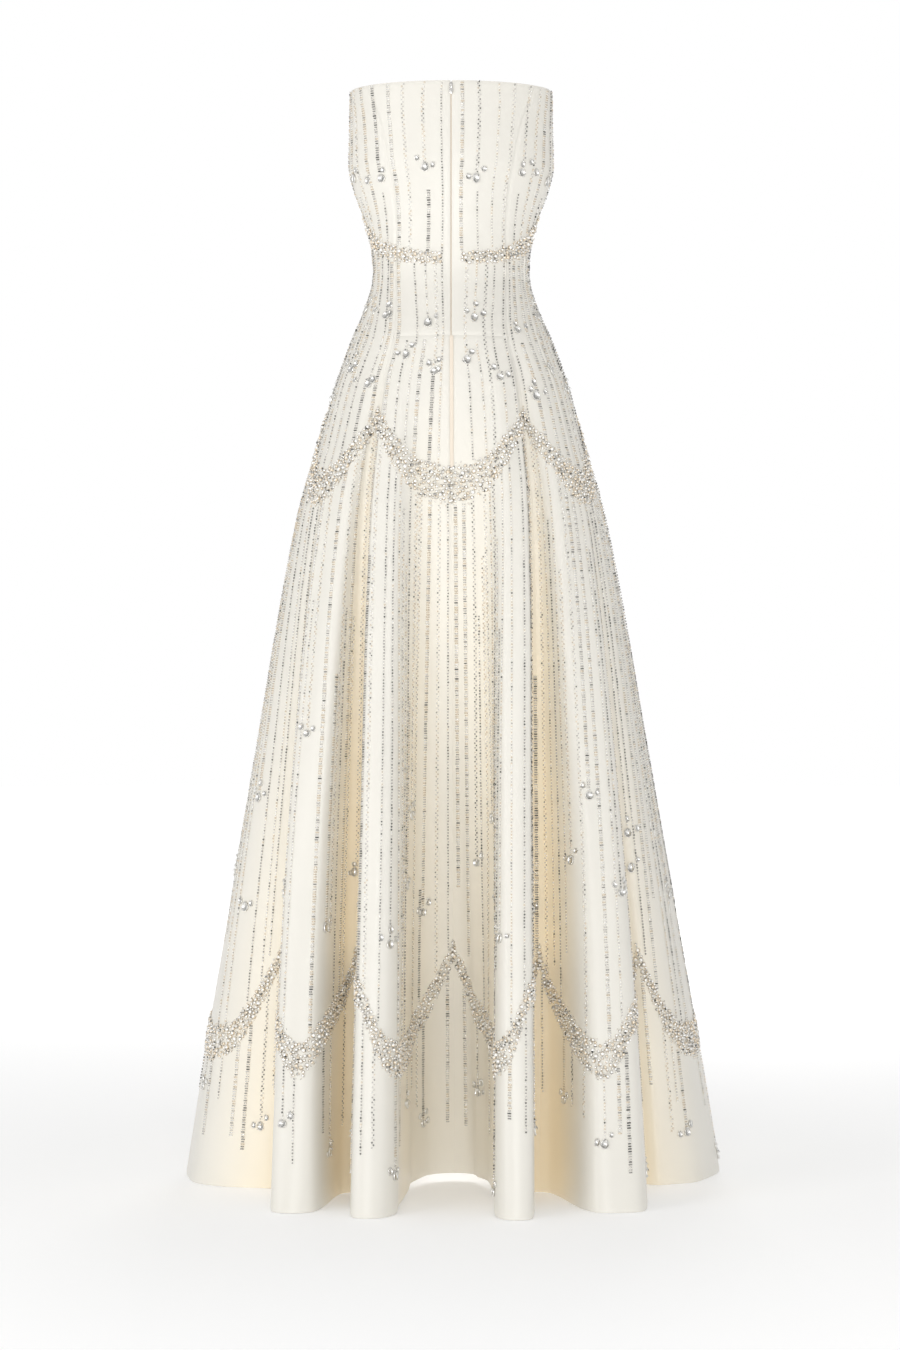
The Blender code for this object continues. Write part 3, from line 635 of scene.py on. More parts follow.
def sewn_frame(length, height, raised):
    """Places on the satin, with the ways across it, up it and out of it."""
    across, up = steps_on(satin_face, length, height)
    across, up = unit(across), unit(up)
    out = unit(np.cross(across, up))
    up = unit(np.cross(out, across))
    return satin_face(length, height) + out * np.asarray(raised)[..., None], across, up, out


def sewn_copies(name, pattern, points, spots, looks, tones=None):
    """One mesh of a pattern's copies, one at each spot of a sewn frame, with a tone for each face.
    points are the pattern's own, or a set of them for each copy."""
    place, across, up, out = [way[:, None] for way in spots]
    corners = place + points[..., 0, None] * across + points[..., 1, None] * up + points[..., 2, None] * out
    count, size = corners.shape[:2]
    faces = pattern.data.polygons
    loops = np.empty(len(pattern.data.loops), np.int32)
    pattern.data.loops.foreach_get("vertex_index", loops)
    starts = np.array([face.loop_start for face in faces], np.int32)
    look_index = np.array([face.material_index for face in faces], np.int32)
    copy = np.arange(count)[:, None]
    mesh = bpy.data.meshes.new(name)
    mesh.vertices.add(count * size)
    mesh.loops.add(count * len(loops))
    mesh.polygons.add(count * len(faces))
    mesh.vertices.foreach_set("co", corners.ravel())
    mesh.loops.foreach_set("vertex_index", (loops + copy * size).ravel())
    mesh.polygons.foreach_set("loop_start", (starts + copy * len(loops)).ravel())
    mesh.polygons.foreach_set("material_index", np.tile(look_index, count))
    mesh.update(calc_edges=True)
    for look in looks:
        mesh.materials.append(look)
    if tones is not None:
        tone = mesh.attributes.new("tone", "FLOAT", "FACE")
        tone.data.foreach_set("value", np.asarray(tones, np.float32).ravel())
    made = bpy.data.objects.new(name, mesh)
    bpy.context.scene.collection.objects.link(made)
    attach(made, "gown")
    return made


def apply_place():
    """Moves the selected piece's place, turn and scale into its mesh."""
    bpy.ops.object.transform_apply(location=True, rotation=True, scale=True)


LYING_ACROSS = (0.0, math.radians(90.0), 0.0)
bpy.ops.mesh.primitive_cylinder_add(vertices=8, radius=0.5, depth=1.0, rotation=LYING_ACROSS)
coil_turn = bpy.context.object
apply_place()
coil_heights = np.arange(ZIP_END_HEIGHT + COIL_ENDS[0], NECK_HEIGHT - COIL_ENDS[1], COIL_PITCH)
coil_depth = np.full_like(coil_heights, -TAPE_DEPTH - TAPE_THICKNESS - COIL_ROOM)
coil_spots = sewn_frame(np.zeros_like(coil_heights), coil_heights, coil_depth)
coil_points = (pattern_points(coil_turn) * COIL_SIZE)[:, [0, 2, 1]]
coil_nylon = new_material("coil_nylon", {"Base Color": (0.80, 0.72, 0.60, 1.0), "Roughness": 0.35})[0]
zip_coil = sewn_copies("zip_coil", coil_turn, coil_points, coil_spots, [coil_nylon])
bpy.data.objects.remove(coil_turn)

# Zip slider and pull: a small nickel slider at the neck edge, die cast, with a bail raised from its
# plate. The pull is a flat teardrop with a window at its top, and hangs on the bail, free to swing.
SLIDER_HEIGHT = 0.2470
SEAM_GAP = 0.0003
PLATE_SIZE = (0.0048, 0.0012, 0.0085)
NECK_SIZE = (0.0011, 0.0030, 0.0050)
BAIL_RADII = (0.00145, 0.00245)
BAIL_WIRE = 0.00042
PULL_AXIS_OUT = 0.0024
PULL_SIZE = (0.0052, 0.0009, 0.0128)
PULL_BAR = 0.00045
PULL_WINDOW = (0.0020, 0.0042)
PULL_TOP_SHARE = 0.74
PULL_CORNERS = 0.62
WIRE_SHARE = 0.30
METAL_SMOOTH = math.radians(40.0)


def nickel():
    """Polished nickel, softly uneven from tumbling."""
    made, tree, shader = new_material("zip_nickel", {"Metallic": 1.0})
    place = add_node(tree, "TexCoord", "Object")
    cloud = add_node(tree, "TexNoise", "Fac", {"Vector": place, "Scale": 900.0})
    rough = add_node(tree, "MapRange", "Result", {"Value": cloud, "To Min": 0.16, "To Max": 0.34})
    tint = blended(tree, cloud, (0.72, 0.70, 0.66, 1.0), (0.90, 0.89, 0.87, 1.0))
    feed(shader, {"Base Color": tint, "Roughness": rough})
    return made


zip_nickel = nickel()
slider_across, slider_up = steps_on(pressed_cloth, np.array(0.0), np.array(SLIDER_HEIGHT))
slider_out = unit(np.cross(slider_across, slider_up))
slider_tilt = math.atan2(-slider_out[2], -slider_out[1])
at_slider = Matrix.Translation(pressed_cloth(0.0, SLIDER_HEIGHT)) @ Matrix.Rotation(slider_tilt, 4, "X")
FACING_OUT = (math.radians(90.0), 0.0, 0.0)


def set_at_slider(piece, body, node):
    """Moves a finished metal piece from its own axes to the slider's place, in its mesh."""
    piece.data.transform(at_slider)
    piece.data.materials.clear()
    piece.data.materials.append(zip_nickel)
    bpy.ops.object.shade_smooth_by_angle(angle=METAL_SMOOTH)
    piece.select_set(False)
    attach(piece, body)
    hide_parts(node)


bpy.ops.mesh.primitive_cylinder_add(
    vertices=32, radius=0.5, depth=1.0, location=(0.0, -SEAM_GAP - PLATE_SIZE[1] / 2, 0.0),
    rotation=FACING_OUT,
)
slider_plate = bpy.context.object
slider_plate.name = "slider"
slider_plate.scale = (PLATE_SIZE[0], PLATE_SIZE[2], PLATE_SIZE[1])
apply_place()
for vert in slider_plate.data.vertices:
    vert.co.x *= 1.0 + 0.10 * vert.co.z / PLATE_SIZE[2]
apply_modifier(slider_plate, "BEVEL", width=0.00030, segments=2)
bpy.ops.mesh.primitive_cube_add(size=1.0, location=(0.0, NECK_SIZE[1] / 2 - SEAM_GAP - 0.0004, 0.0))
neck = bpy.context.object
neck.scale = NECK_SIZE
apply_place()
bpy.ops.mesh.primitive_torus_add(
    major_segments=28, minor_segments=10, major_radius=1.0, minor_radius=WIRE_SHARE,
    location=(0.0, -PULL_AXIS_OUT, 0.0), rotation=LYING_ACROSS,
)
bail = bpy.context.object
bpy.ops.object.transform_apply(location=False, rotation=True, scale=False)
for vert in bail.data.vertices:
    ring_way = math.atan2(vert.co.z, vert.co.y)
    wire = BAIL_WIRE * (math.hypot(vert.co.y, vert.co.z) - 1.0) / WIRE_SHARE
    vert.co.y = math.cos(ring_way) * (BAIL_RADII[0] + wire)
    vert.co.z = math.sin(ring_way) * (BAIL_RADII[1] + wire)
    vert.co.x *= BAIL_WIRE / WIRE_SHARE * 1.5
apply_place()
for piece in (slider_plate, neck, bail):
    piece.select_set(True)
bpy.context.view_layer.objects.active = slider_plate
bpy.ops.object.join()
set_at_slider(slider_plate, "gown", "zip_slider")

bpy.ops.mesh.primitive_cylinder_add(vertices=40, radius=1.0, depth=PULL_SIZE[1], rotation=FACING_OUT)
pull = bpy.context.object
pull.name = "pull_tab"
apply_place()
for vert in pull.data.vertices:
    turn = math.atan2(vert.co.x, vert.co.z)
    boxy_x = math.copysign(abs(math.sin(turn)) ** PULL_CORNERS, math.sin(turn))
    boxy_z = math.copysign(abs(math.cos(turn)) ** PULL_CORNERS, math.cos(turn))
    share = PULL_TOP_SHARE + (1.0 - PULL_TOP_SHARE) * 0.5 * (1.0 - boxy_z)
    vert.co.x = boxy_x * share * PULL_SIZE[0] / 2
    vert.co.z = PULL_BAR + (boxy_z - 1.0) * PULL_SIZE[2] / 2
bpy.ops.mesh.primitive_cylinder_add(
    vertices=24, radius=0.5, depth=0.004, location=(0.0, 0.0, -PULL_BAR - PULL_WINDOW[1] / 2),
    rotation=FACING_OUT,
)
window = bpy.context.object
window.scale = (*PULL_WINDOW, 1.0)
apply_place()
window.select_set(False)
pull.select_set(True)
bpy.context.view_layer.objects.active = pull
apply_modifier(pull, "BOOLEAN", object=window, operation="DIFFERENCE")
bpy.data.objects.remove(window)
apply_modifier(pull, "BEVEL", width=0.00018, segments=2)
pull.data.transform(Matrix.Translation((0.0, -PULL_AXIS_OUT, 0.0)))
set_at_slider(pull, "pull", "zip_pull")

# Bead lines: strings of cut glass beads, sewn thread by thread down the satin.
# They run from the neck edge to the girdle, on to the hips, and from the hips to near the hem.
# Some are single beads, some are twisted pairs, and some are short bugles laid crosswise.
Band = namedtuple("Band", "name knots knot dip least most")
VALLEYS = (
    -BACK_SEAM, 0.0, BACK_SEAM, 66.0, 107.0, FRONT_SEAM, 180.0,
    FRONT_SEAM_LEFT, 254.0, 297.0, BACK_SEAM_LEFT, FULL_TURN, FULL_TURN + BACK_SEAM,
)
SEAMS = (
    -BACK_SEAM, BACK_SEAM, SIDE_SEAM, FRONT_SEAM,
    FRONT_SEAM_LEFT, FULL_TURN - SIDE_SEAM, BACK_SEAM_LEFT, FULL_TURN + BACK_SEAM,
)
BODICE_BAND = Band("bodice_band", (-90.0, 90.0, 270.0, 450.0), 0.066, 0.012, 0.036, 0.016)
HIP_BAND = Band("hip_band", SEAMS, -0.205, -0.300, 0.024, 0.050)
HEM_BAND = Band("hem_band", VALLEYS, -0.930, -1.055, 0.026, 0.044)
SWAG_FULLNESS = 0.8
Drops = namedtuple("Drops", "name count low high round_by")
DROPS = (
    Drops("bodice", 12, 0.120, 0.138, "angle"),
    Drops("below_bodice_band", 12, -0.088, -0.050, "angle"),
    Drops("above_hip_band", 20, -0.182, -0.120, "angle"),
    Drops("mid_skirt", 14, -0.777, -0.633, "length"),
    Drops("above_hem_band", 34, -0.905, -0.793, "length"),
    Drops("above_hem", 36, -1.226, -1.108, "length"),
)
GOLDEN = 0.618034
DROP_ROOM = 0.0075


def band_shape(band, angle):
    """Middle height and half breadth of a band at each hip angle."""
    knots = np.array(band.knots)
    i = np.clip(np.searchsorted(knots, angle, side="right") - 1, 0, len(knots) - 2)
    share = np.clip((angle - knots[i]) / (knots[i + 1] - knots[i]), 0.0, 1.0)
    sag = np.sin(math.pi * share) ** SWAG_FULLNESS
    middle = band.knot + (band.dip - band.knot) * sag
    return middle, 0.5 * (band.least + (band.most - band.least) * sag)


def drop_places():
    """Length and height of every large crystal, by the name of its row."""
    places = {}
    counted = 0
    for drops in DROPS:
        share = (np.arange(drops.count) + 0.5) / drops.count
        on_hem = share * HEM_LENGTH if drops.round_by == "length" else length_at(share * FULL_TURN)
        uneven = ((counted + np.arange(drops.count)) * GOLDEN) % 1.0
        places[drops.name] = np.stack([on_hem, drops.low + (drops.high - drops.low) * uneven], axis=-1)
        counted += drops.count
    return places


DROP_PLACES = drop_places()
Line = namedtuple("Line", "length top foot kind")
KINDS = ("single", "bugle", "pair")
KIND_SHARES = (0.42, 0.34, 0.24)
LINE_TOP = NECK_HEIGHT - 0.001
BODICE_LINE_STEP = 10.0
BODICE_LINE_SHIFT = 1.4
BELOW_BODICE_DROPS = 0.105
WAIST_LINE_STEP = 6.2
WAIST_LINE_SHIFT = 0.8
CLEAR_OF_DROP = 2.0
LINE_UNSWAY = 0.6
ZIP_BAND_GAP_ANGLE = 6.0
SKIRT_LINES = 168
TO_BAND_SHARE = 0.7
LOOSE_FEET = (-0.95, -0.84)
LOWER_LINES = 128
LOWER_KEPT = 0.85
LOWER_FEET = (-1.20, -1.10)
MID_HEIGHT = -0.75
THREAD_SHIFT = 0.27
dice = np.random.default_rng(41)


def kind_of_line():
    return KINDS[dice.choice(len(KINDS), p=KIND_SHARES)]


def band_edge(band, length, side):
    """Height of a band's upper (1) or lower (-1) edge on a thread."""
    middle, half = band_shape(band, angle_at(length))
    return float(middle + side * (half + 0.001))


def bodice_lines():
    """Lines from the neck edge to the girdle, and on to the hips."""
    lines = []
    for length, height in DROP_PLACES["bodice"]:
        lines.append(Line(length, LINE_TOP, height + DROP_ROOM, kind_of_line()))
    lower = np.concatenate([DROP_PLACES["below_bodice_band"], DROP_PLACES["above_hip_band"]])
    for length, height in lower:
        lines.append(Line(length, band_edge(BODICE_BAND, length, -1), height + DROP_ROOM, kind_of_line()))
    for even in np.arange(BODICE_LINE_STEP / 2, FULL_TURN, BODICE_LINE_STEP):
        angle = even + dice.uniform(-BODICE_LINE_SHIFT, BODICE_LINE_SHIFT)
        length = float(length_at(angle))
        kind = kind_of_line()
        if from_centre_back(angle) < ZIP_BAND_GAP_ANGLE:
            lines.append(Line(length, LINE_TOP, band_edge(HIP_BAND, length, 1), "single"))
            continue
        below_drop = np.abs(angle_at(DROP_PLACES["bodice"][:, 0]) - angle).min() < BODICE_LINE_STEP / 2
        top = BELOW_BODICE_DROPS if below_drop else LINE_TOP
        lines.append(Line(length, top, band_edge(BODICE_BAND, length, 1), kind))
    for even in np.arange(WAIST_LINE_STEP * 1.5, FULL_TURN - WAIST_LINE_STEP, WAIST_LINE_STEP):
        angle = even + dice.uniform(-WAIST_LINE_SHIFT, WAIST_LINE_SHIFT)
        length = float(length_at(angle))
        top = band_edge(BODICE_BAND, length, -1)
        if np.abs(angle_at(lower[:, 0]) - angle).min() < CLEAR_OF_DROP:
            top = WAIST_SEAM_HEIGHT - DROP_ROOM
        lines.append(Line(length, top, band_edge(HIP_BAND, length, 1), kind_of_line()))
    return lines


def even_threads(count):
    """Threads about evenly spaced over the folds of the middle of the skirt."""
    fine = np.linspace(0.0, HEM_LENGTH, 2400)
    path = pressed_cloth(fine, MID_HEIGHT)
    along = np.concatenate([[0.0], np.cumsum(np.linalg.norm(np.diff(path, axis=0), axis=-1))])
    share = (np.arange(count) + 0.5 + dice.uniform(-THREAD_SHIFT, THREAD_SHIFT, count)) / count
    return np.interp(share * along[-1], along, fine)


def led_to_drops(threads_across, drops):
    """Moves the thread nearest each large crystal onto it, and gives the height where that line ends."""
    feet = {}
    for length, height in drops:
        nearest = int(np.abs(threads_across - length).argmin())
        threads_across[nearest] = length
        feet[nearest] = height + DROP_ROOM
    return feet


def skirt_lines():
    """Lines from the hips to the scallops, and from the scallops to near the hem."""
    lines = []
    upper = even_threads(SKIRT_LINES)
    feet = led_to_drops(upper, np.concatenate([DROP_PLACES["above_hem_band"], DROP_PLACES["mid_skirt"]]))
    for i, length in enumerate(upper):
        edge = band_edge(HEM_BAND, length, 1)
        foot = feet.get(i)
        if foot is None:
            foot = max(edge, edge if dice.uniform() < TO_BAND_SHARE else dice.uniform(*LOOSE_FEET))
        lines.append(Line(length, band_edge(HIP_BAND, length, -1), foot, kind_of_line()))
    lower = even_threads(LOWER_LINES)
    feet = led_to_drops(lower, DROP_PLACES["above_hem"])
    for i, length in enumerate(lower):
        foot = feet.get(i, dice.uniform(*LOWER_FEET))
        if i in feet or dice.uniform() < LOWER_KEPT:
            lines.append(Line(length, band_edge(HEM_BAND, length, -1), foot, kind_of_line()))
    return lines


LINE_SPACING = 0.0057
SHORTEST_LINE = 0.030
LINE_END_ROOM = 0.006
FAR_AWAY = 9.0
SPACING_HEIGHTS = np.linspace(NECK_HEIGHT, HEM_HEIGHT, 150)


def line_threads(line, heights):
    """The thread that a line follows at each height: over the bust it runs straighter than the seams."""
    angle = angle_at(line.length)
    sway = np.maximum(section_value("seam_sway", heights), 0.0) * (heights > DROPS[0].high)
    return length_at(angle - LINE_UNSWAY * sway * math.sin(2.0 * math.radians(angle)))


def spaced_lines(lines):
    """The lines with room between them: each starts only where it comes clear of those laid before it."""
    laid = [np.full((len(SPACING_HEIGHTS), 3), FAR_AWAY)]
    kept = []
    for line in lines:
        path = pressed_cloth(line_threads(line, SPACING_HEIGHTS), SPACING_HEIGHTS)
        on_line = (SPACING_HEIGHTS <= line.top) & (SPACING_HEIGHTS >= line.foot)
        nearest = np.linalg.norm(np.array(laid) - path, axis=-1).min(axis=0)
        crowded = SPACING_HEIGHTS[on_line & (nearest < LINE_SPACING)]
        top = crowded.min() - LINE_END_ROOM if len(crowded) else line.top
        if top - line.foot < SHORTEST_LINE:
            continue
        kept.append(line._replace(top=top))
        laid.append(np.where((on_line & (SPACING_HEIGHTS <= top))[:, None], path, FAR_AWAY))
    return kept


EVERY_LINE = bodice_lines() + skirt_lines()
BEAD_LINES = spaced_lines([EVERY_LINE[i] for i in dice.permutation(len(EVERY_LINE))])
BEAD_PITCH = {"single": 0.0040, "bugle": 0.0032, "pair": 0.0031}
BEAD_SIZE = {
    "single": (0.0028, 0.0030, 0.0021),
    "bugle": (0.0044, 0.0017, 0.0015),
    "pair": (0.0025, 0.0028, 0.0019),
}
BEAD_UNEVEN = (0.86, 1.1)
BEAD_SHIFT = 0.00018
BEAD_SEAT = 0.42
PAIR_ASIDE = 0.0011
START_SCATTER = 97.0
# Shares of the five glass tones in each family of beads, one tone for each bead. Near black and grey beads
# are painted dark reflections; the rest are the beads' own silver, champagne and white.
TONES = {
    "silver": (0.22, 0.42, 0.25, 0.05, 0.06),
    "champagne": (0.03, 0.10, 0.22, 0.45, 0.20),
    "pearl": (0.02, 0.10, 0.30, 0.20, 0.38),
}
LINE_TONES = {"single": (0.70, 0.18, 0.12), "bugle": (0.12, 0.40, 0.48), "pair": (0.22, 0.38, 0.40)}
TONE_PLACES = np.array([0.05, 0.19, 0.44, 0.70, 0.90])
# Glass colours: near black and grey are painted dark reflections of the cut glass; silver, champagne and
# white are the glass's own colours.
GLASS_AND_REFLECTION_STEPS = (
    (0.00, (0.13, 0.13, 0.125, 1.0)),
    (0.10, (0.42, 0.41, 0.39, 1.0)),
    (0.28, (0.74, 0.72, 0.68, 1.0)),
    (0.60, (0.83, 0.72, 0.57, 1.0)),
    (0.80, (0.97, 0.96, 0.93, 1.0)),
)


def glass(name, roughness, metallic):
    """Foil-backed glass in five tones: near black and grey, which are painted dark reflections of the cut
    facets, and silver, champagne and white, the glass's own colours.
    """
    made, tree, shader = new_material(name, {"Roughness": roughness, "Metallic": metallic})
    tone = add_node(tree, "Attribute", "Fac", attribute_name="tone")
    colour = add_node(tree, "ValToRGB", "Color", {"Fac": tone})
    ramp = colour.node.color_ramp
    ramp.interpolation = "CONSTANT"
    while len(ramp.elements) < len(GLASS_AND_REFLECTION_STEPS):
        ramp.elements.new(0.5)
    for element, (place, step_colour) in zip(ramp.elements, GLASS_AND_REFLECTION_STEPS):
        element.position = place
        element.color = step_colour
    feed(shader, {"Base Color": colour})
    return made


bead_glass = glass("bead_glass", 0.22, 0.50)


def beads_on(panel):
    """All the beads of one panel, as one mesh for round beads and one for bugles."""
    left, right = length_at(panel.first), length_at(panel.last)
    places = {"round": [], "bugle": []}
    for line in BEAD_LINES:
        pitch = BEAD_PITCH[line.kind]
        heights = np.arange(line.top - pitch * ((line.length * START_SCATTER) % 1.0), line.foot, -pitch)
        lengths = line_threads(line, heights)
        here = (lengths > left) & (lengths < right) & (heights < panel.top) & (heights > panel.foot)
        count = len(heights)
        if not here.any():
            continue
        family = list(TONES)[dice.choice(len(TONES), p=LINE_TONES[line.kind])]
        # One tone for each bead, at random; the near black and grey ones are painted dark reflections.
        tones = dice.choice(len(TONE_PLACES), size=count, p=TONES[family])
        aside = dice.normal(0.0, BEAD_SHIFT, count)
        size = np.array(BEAD_SIZE[line.kind]) * dice.uniform(*BEAD_UNEVEN, (count, 1))
        if line.kind == "pair":
            aside += PAIR_ASIDE * (-1.0) ** np.arange(count)
        table = np.column_stack([lengths, heights, aside, size, tones])[here]
        places["bugle" if line.kind == "bugle" else "round"].append(table)
    for shape, tables in places.items():
        if not tables:
            continue
        table = np.concatenate(tables)
        aside, size, tone = table[:, 2:3], table[:, 3:6], table[:, 6].astype(int)
        place, across, up, out = sewn_frame(table[:, 0], table[:, 1], BEAD_SEAT * size[:, 2])
        pattern = BEAD_PATTERNS[shape]
        points = pattern_points(pattern) * size[:, None]
        tones = np.repeat(TONE_PLACES[tone], len(pattern.data.polygons))
        spots = (place + across * aside, across, up, out)
        sewn_copies(f"{shape}_beads_{panel.node}", pattern, points, spots, [bead_glass], tones)


bpy.ops.mesh.primitive_uv_sphere_add(segments=4, ring_count=2, radius=0.5)
round_bead = bpy.context.object
bpy.ops.mesh.primitive_cylinder_add(vertices=4, radius=0.5, depth=1.0, rotation=LYING_ACROSS)
BEAD_PATTERNS = {"round": round_bead, "bugle": bpy.context.object}
apply_place()
PANELS = (*BODICE_BACKS, BODICE_FRONT, *SIDE_PANELS, *SKIRT_PANELS)
for panel in PANELS:
    beads_on(panel)
for pattern in BEAD_PATTERNS.values():
    bpy.data.objects.remove(pattern)

# Crystal bands: a girdle at the waist, swags at the hips and scallops above the hem, each a crowd of
# small foil-backed crystals in metal cups. They are glued and sewn close together, large ones first,
# and round seed beads fill in between them and stray past the edges.
Stones = namedtuple("Stones", "name least most tries inner outer")
STONE_SIZES = (
    Stones("crystals", 0.0029, 0.0037, 320, 0.70, 0.80),
    Stones("crystals", 0.0020, 0.0028, 8000, 0.92, 1.02),
    Stones("seed_beads", 0.0011, 0.0015, 2600, 1.00, 1.25),
)
STONE_PACKING = 0.84
STONE_BED = 0.0012
STONE_LEAN = 0.16
# Shares of the five glass tones, picked for each facet of a crystal. The top facets are mostly white as a
# painted highlight, and the sides are darker, mostly champagne, as painted shade. Near black and grey facets
# are painted dark reflections.
TABLE_HIGHLIGHT_TONES = (0.02, 0.05, 0.16, 0.22, 0.55)
SIDE_SHADE_TONES = (0.04, 0.09, 0.20, 0.44, 0.23)
crystal_glass = glass("crystal_glass", 0.18, 0.30)


def strewn_stones(band, first, last):
    """Thread, height, radius and size class of a band's stones between two hip angles, none over another."""
    fine = np.linspace(length_at(first), length_at(last), 400)
    path = satin_face(fine, band_shape(band, angle_at(fine))[0])
    along = np.concatenate([[0.0], np.cumsum(np.linalg.norm(np.diff(path, axis=0), axis=-1))])
    most = sum(int(along[-1] * stones.tries) for stones in STONE_SIZES)
    kept = np.zeros((most, 4))
    rows = []
    for size_class, stones in enumerate(STONE_SIZES):
        tries = int(along[-1] * stones.tries)
        length = np.interp(dice.uniform(0.0, along[-1], tries), along, fine)
        middle, half = band_shape(band, angle_at(length))
        off = half * dice.uniform(-1.0, 1.0, tries) * dice.uniform(stones.inner, stones.outer, tries)
        height = middle + off
        radius = dice.uniform(stones.least, stones.most, tries)
        points = satin_face(length, height)
        for i in range(tries):
            others = kept[: len(rows)]
            away = np.linalg.norm(others[:, :3] - points[i], axis=-1)
            if (away < STONE_PACKING * (others[:, 3] + radius[i])).any():
                continue
            kept[len(rows)] = (*points[i], radius[i])
            rows.append((length[i], height[i], radius[i], size_class))
    return np.array(rows)


def stones_on(panel):
    """The crystals and seed beads of one panel's bands, as one mesh of each."""
    tables = []
    for band in (BODICE_BAND, HIP_BAND, HEM_BAND):
        if panel.foot >= band.dip or band.knot >= panel.top:
            continue
        found = strewn_stones(band, panel.first, panel.last)
        if band.name == "bodice_band":
            found = found[from_centre_back(angle_at(found[:, 0])) > ZIP_BAND_GAP_ANGLE]
        tables.append(found)
    table = np.concatenate(tables)
    for name, pattern in STONE_PATTERNS.items():
        of_name = [size_class for size_class, stones in enumerate(STONE_SIZES) if stones.name == name]
        length, height, radius, _ = table[np.isin(table[:, 3], of_name)].T
        count = len(length)
        place, across, up, out = sewn_frame(length, height, STONE_BED * dice.uniform(0.2, 1.0, count))
        turn = dice.uniform(0.0, math.tau, count)
        lean = dice.normal(0.0, STONE_LEAN, (count, 2))
        out = unit(out + lean[:, :1] * across + lean[:, 1:] * up)
        across = unit(np.cos(turn)[:, None] * across + np.sin(turn)[:, None] * up)
        across = unit(across - out * np.sum(across * out, axis=-1, keepdims=True))
        facets = pattern.data.polygons
        # The top facets take the painted highlight tones, and the sides take the painted shade tones.
        highlight_facets = np.array([face.normal.z > 0.5 for face in facets])
        table_highlight_tones = dice.choice(len(TONE_PLACES), size=(count, len(facets)), p=TABLE_HIGHLIGHT_TONES)
        side_shade_tones = dice.choice(len(TONE_PLACES), size=(count, len(facets)), p=SIDE_SHADE_TONES)
        tones = TONE_PLACES[np.where(highlight_facets, table_highlight_tones, side_shade_tones)]
        points = pattern_points(pattern) * radius[:, None, None]
        spots = (place, across, np.cross(out, across), out)
        sewn_copies(f"{name}_{panel.node}", pattern, points, spots, [crystal_glass], tones)


bpy.ops.mesh.primitive_cone_add(
    vertices=6, radius1=1.0, radius2=0.60, depth=0.95, end_fill_type="NGON", location=(0.0, 0.0, 0.30)
)
small_stone = bpy.context.object
apply_place()
bpy.ops.mesh.primitive_uv_sphere_add(segments=4, ring_count=2, radius=1.0)
STONE_PATTERNS = {"crystals": small_stone, "seed_beads": bpy.context.object}
for panel in PANELS:
    stones_on(panel)
for pattern in STONE_PATTERNS.values():
    bpy.data.objects.remove(pattern)

# Drop crystals: large oval and pear stones at the ends of the bead lines, with smaller ones about them.
# Each is a faceted stone in a silver cup with four claws, sewn through the cup.
DROP_RADIUS = 0.0056
DROP_HEIGHT = 0.0070
SMALL_DROP_RADIUS = 0.0038
SEAM_ROOM = 0.004
ZIP_LAP_ROOM = 0.0095
CLUSTERS = (
    ((-0.0105, 0.0080), (0.0095, 0.0060)),
    ((0.0090, 0.0125), (-0.0100, 0.0020)),
    ((-0.0090, 0.0105), (0.0080, 0.0150), (0.0115, 0.0020)),
    ((0.0105, 0.0095),),
    ((-0.0115, -0.0010), (0.0085, 0.0105)),
    ((-0.0095, 0.0130), (0.0100, 0.0035)),
    ((0.0110, 0.0060), (-0.0100, 0.0095), (0.0010, 0.0195)),
)
# Shares of the five glass tones, picked at random for each facet of the large crystals. Near black and grey
# facets are painted dark reflections and white ones are painted glints; silver and champagne are the stones'
# own colours.
DROP_GLINT_TONES = (0.21, 0.13, 0.15, 0.05, 0.46)
DROP_LEAN = 0.08
TURN_OF_FACET = math.radians(18.0)
CLAW_SIZE = (0.26, 0.14, 0.24)
CLAW_RING = 0.90
CLAW_HEIGHT = 0.33
silver_cup = new_material("silver_cup", {
    "Base Color": (0.84, 0.83, 0.80, 1.0), "Metallic": 1.0, "Roughness": 0.28,
})[0]


def select_top(piece):
    """Selects the highest flat face in edit mode, and nothing else."""
    bpy.ops.mesh.select_all(action="DESELECT")
    bpy.ops.object.mode_set(mode="OBJECT")
    top = max(piece.data.polygons, key=lambda face: (face.normal.z > 0.9) * face.center.z)
    top.select = True
    bpy.ops.object.mode_set(mode="EDIT")


def raise_top(piece, by, scale, turn):
    """Extrudes the top face up, draws it in and turns it."""
    select_top(piece)
    bpy.ops.mesh.extrude_region_move(TRANSFORM_OT_translate={"value": (0.0, 0.0, by)})
    bpy.ops.transform.resize(value=(scale, scale, 1.0), center_override=(0.0, 0.0, 0.0))
    bpy.ops.transform.rotate(value=turn, orient_axis="Z", center_override=(0.0, 0.0, 0.0))


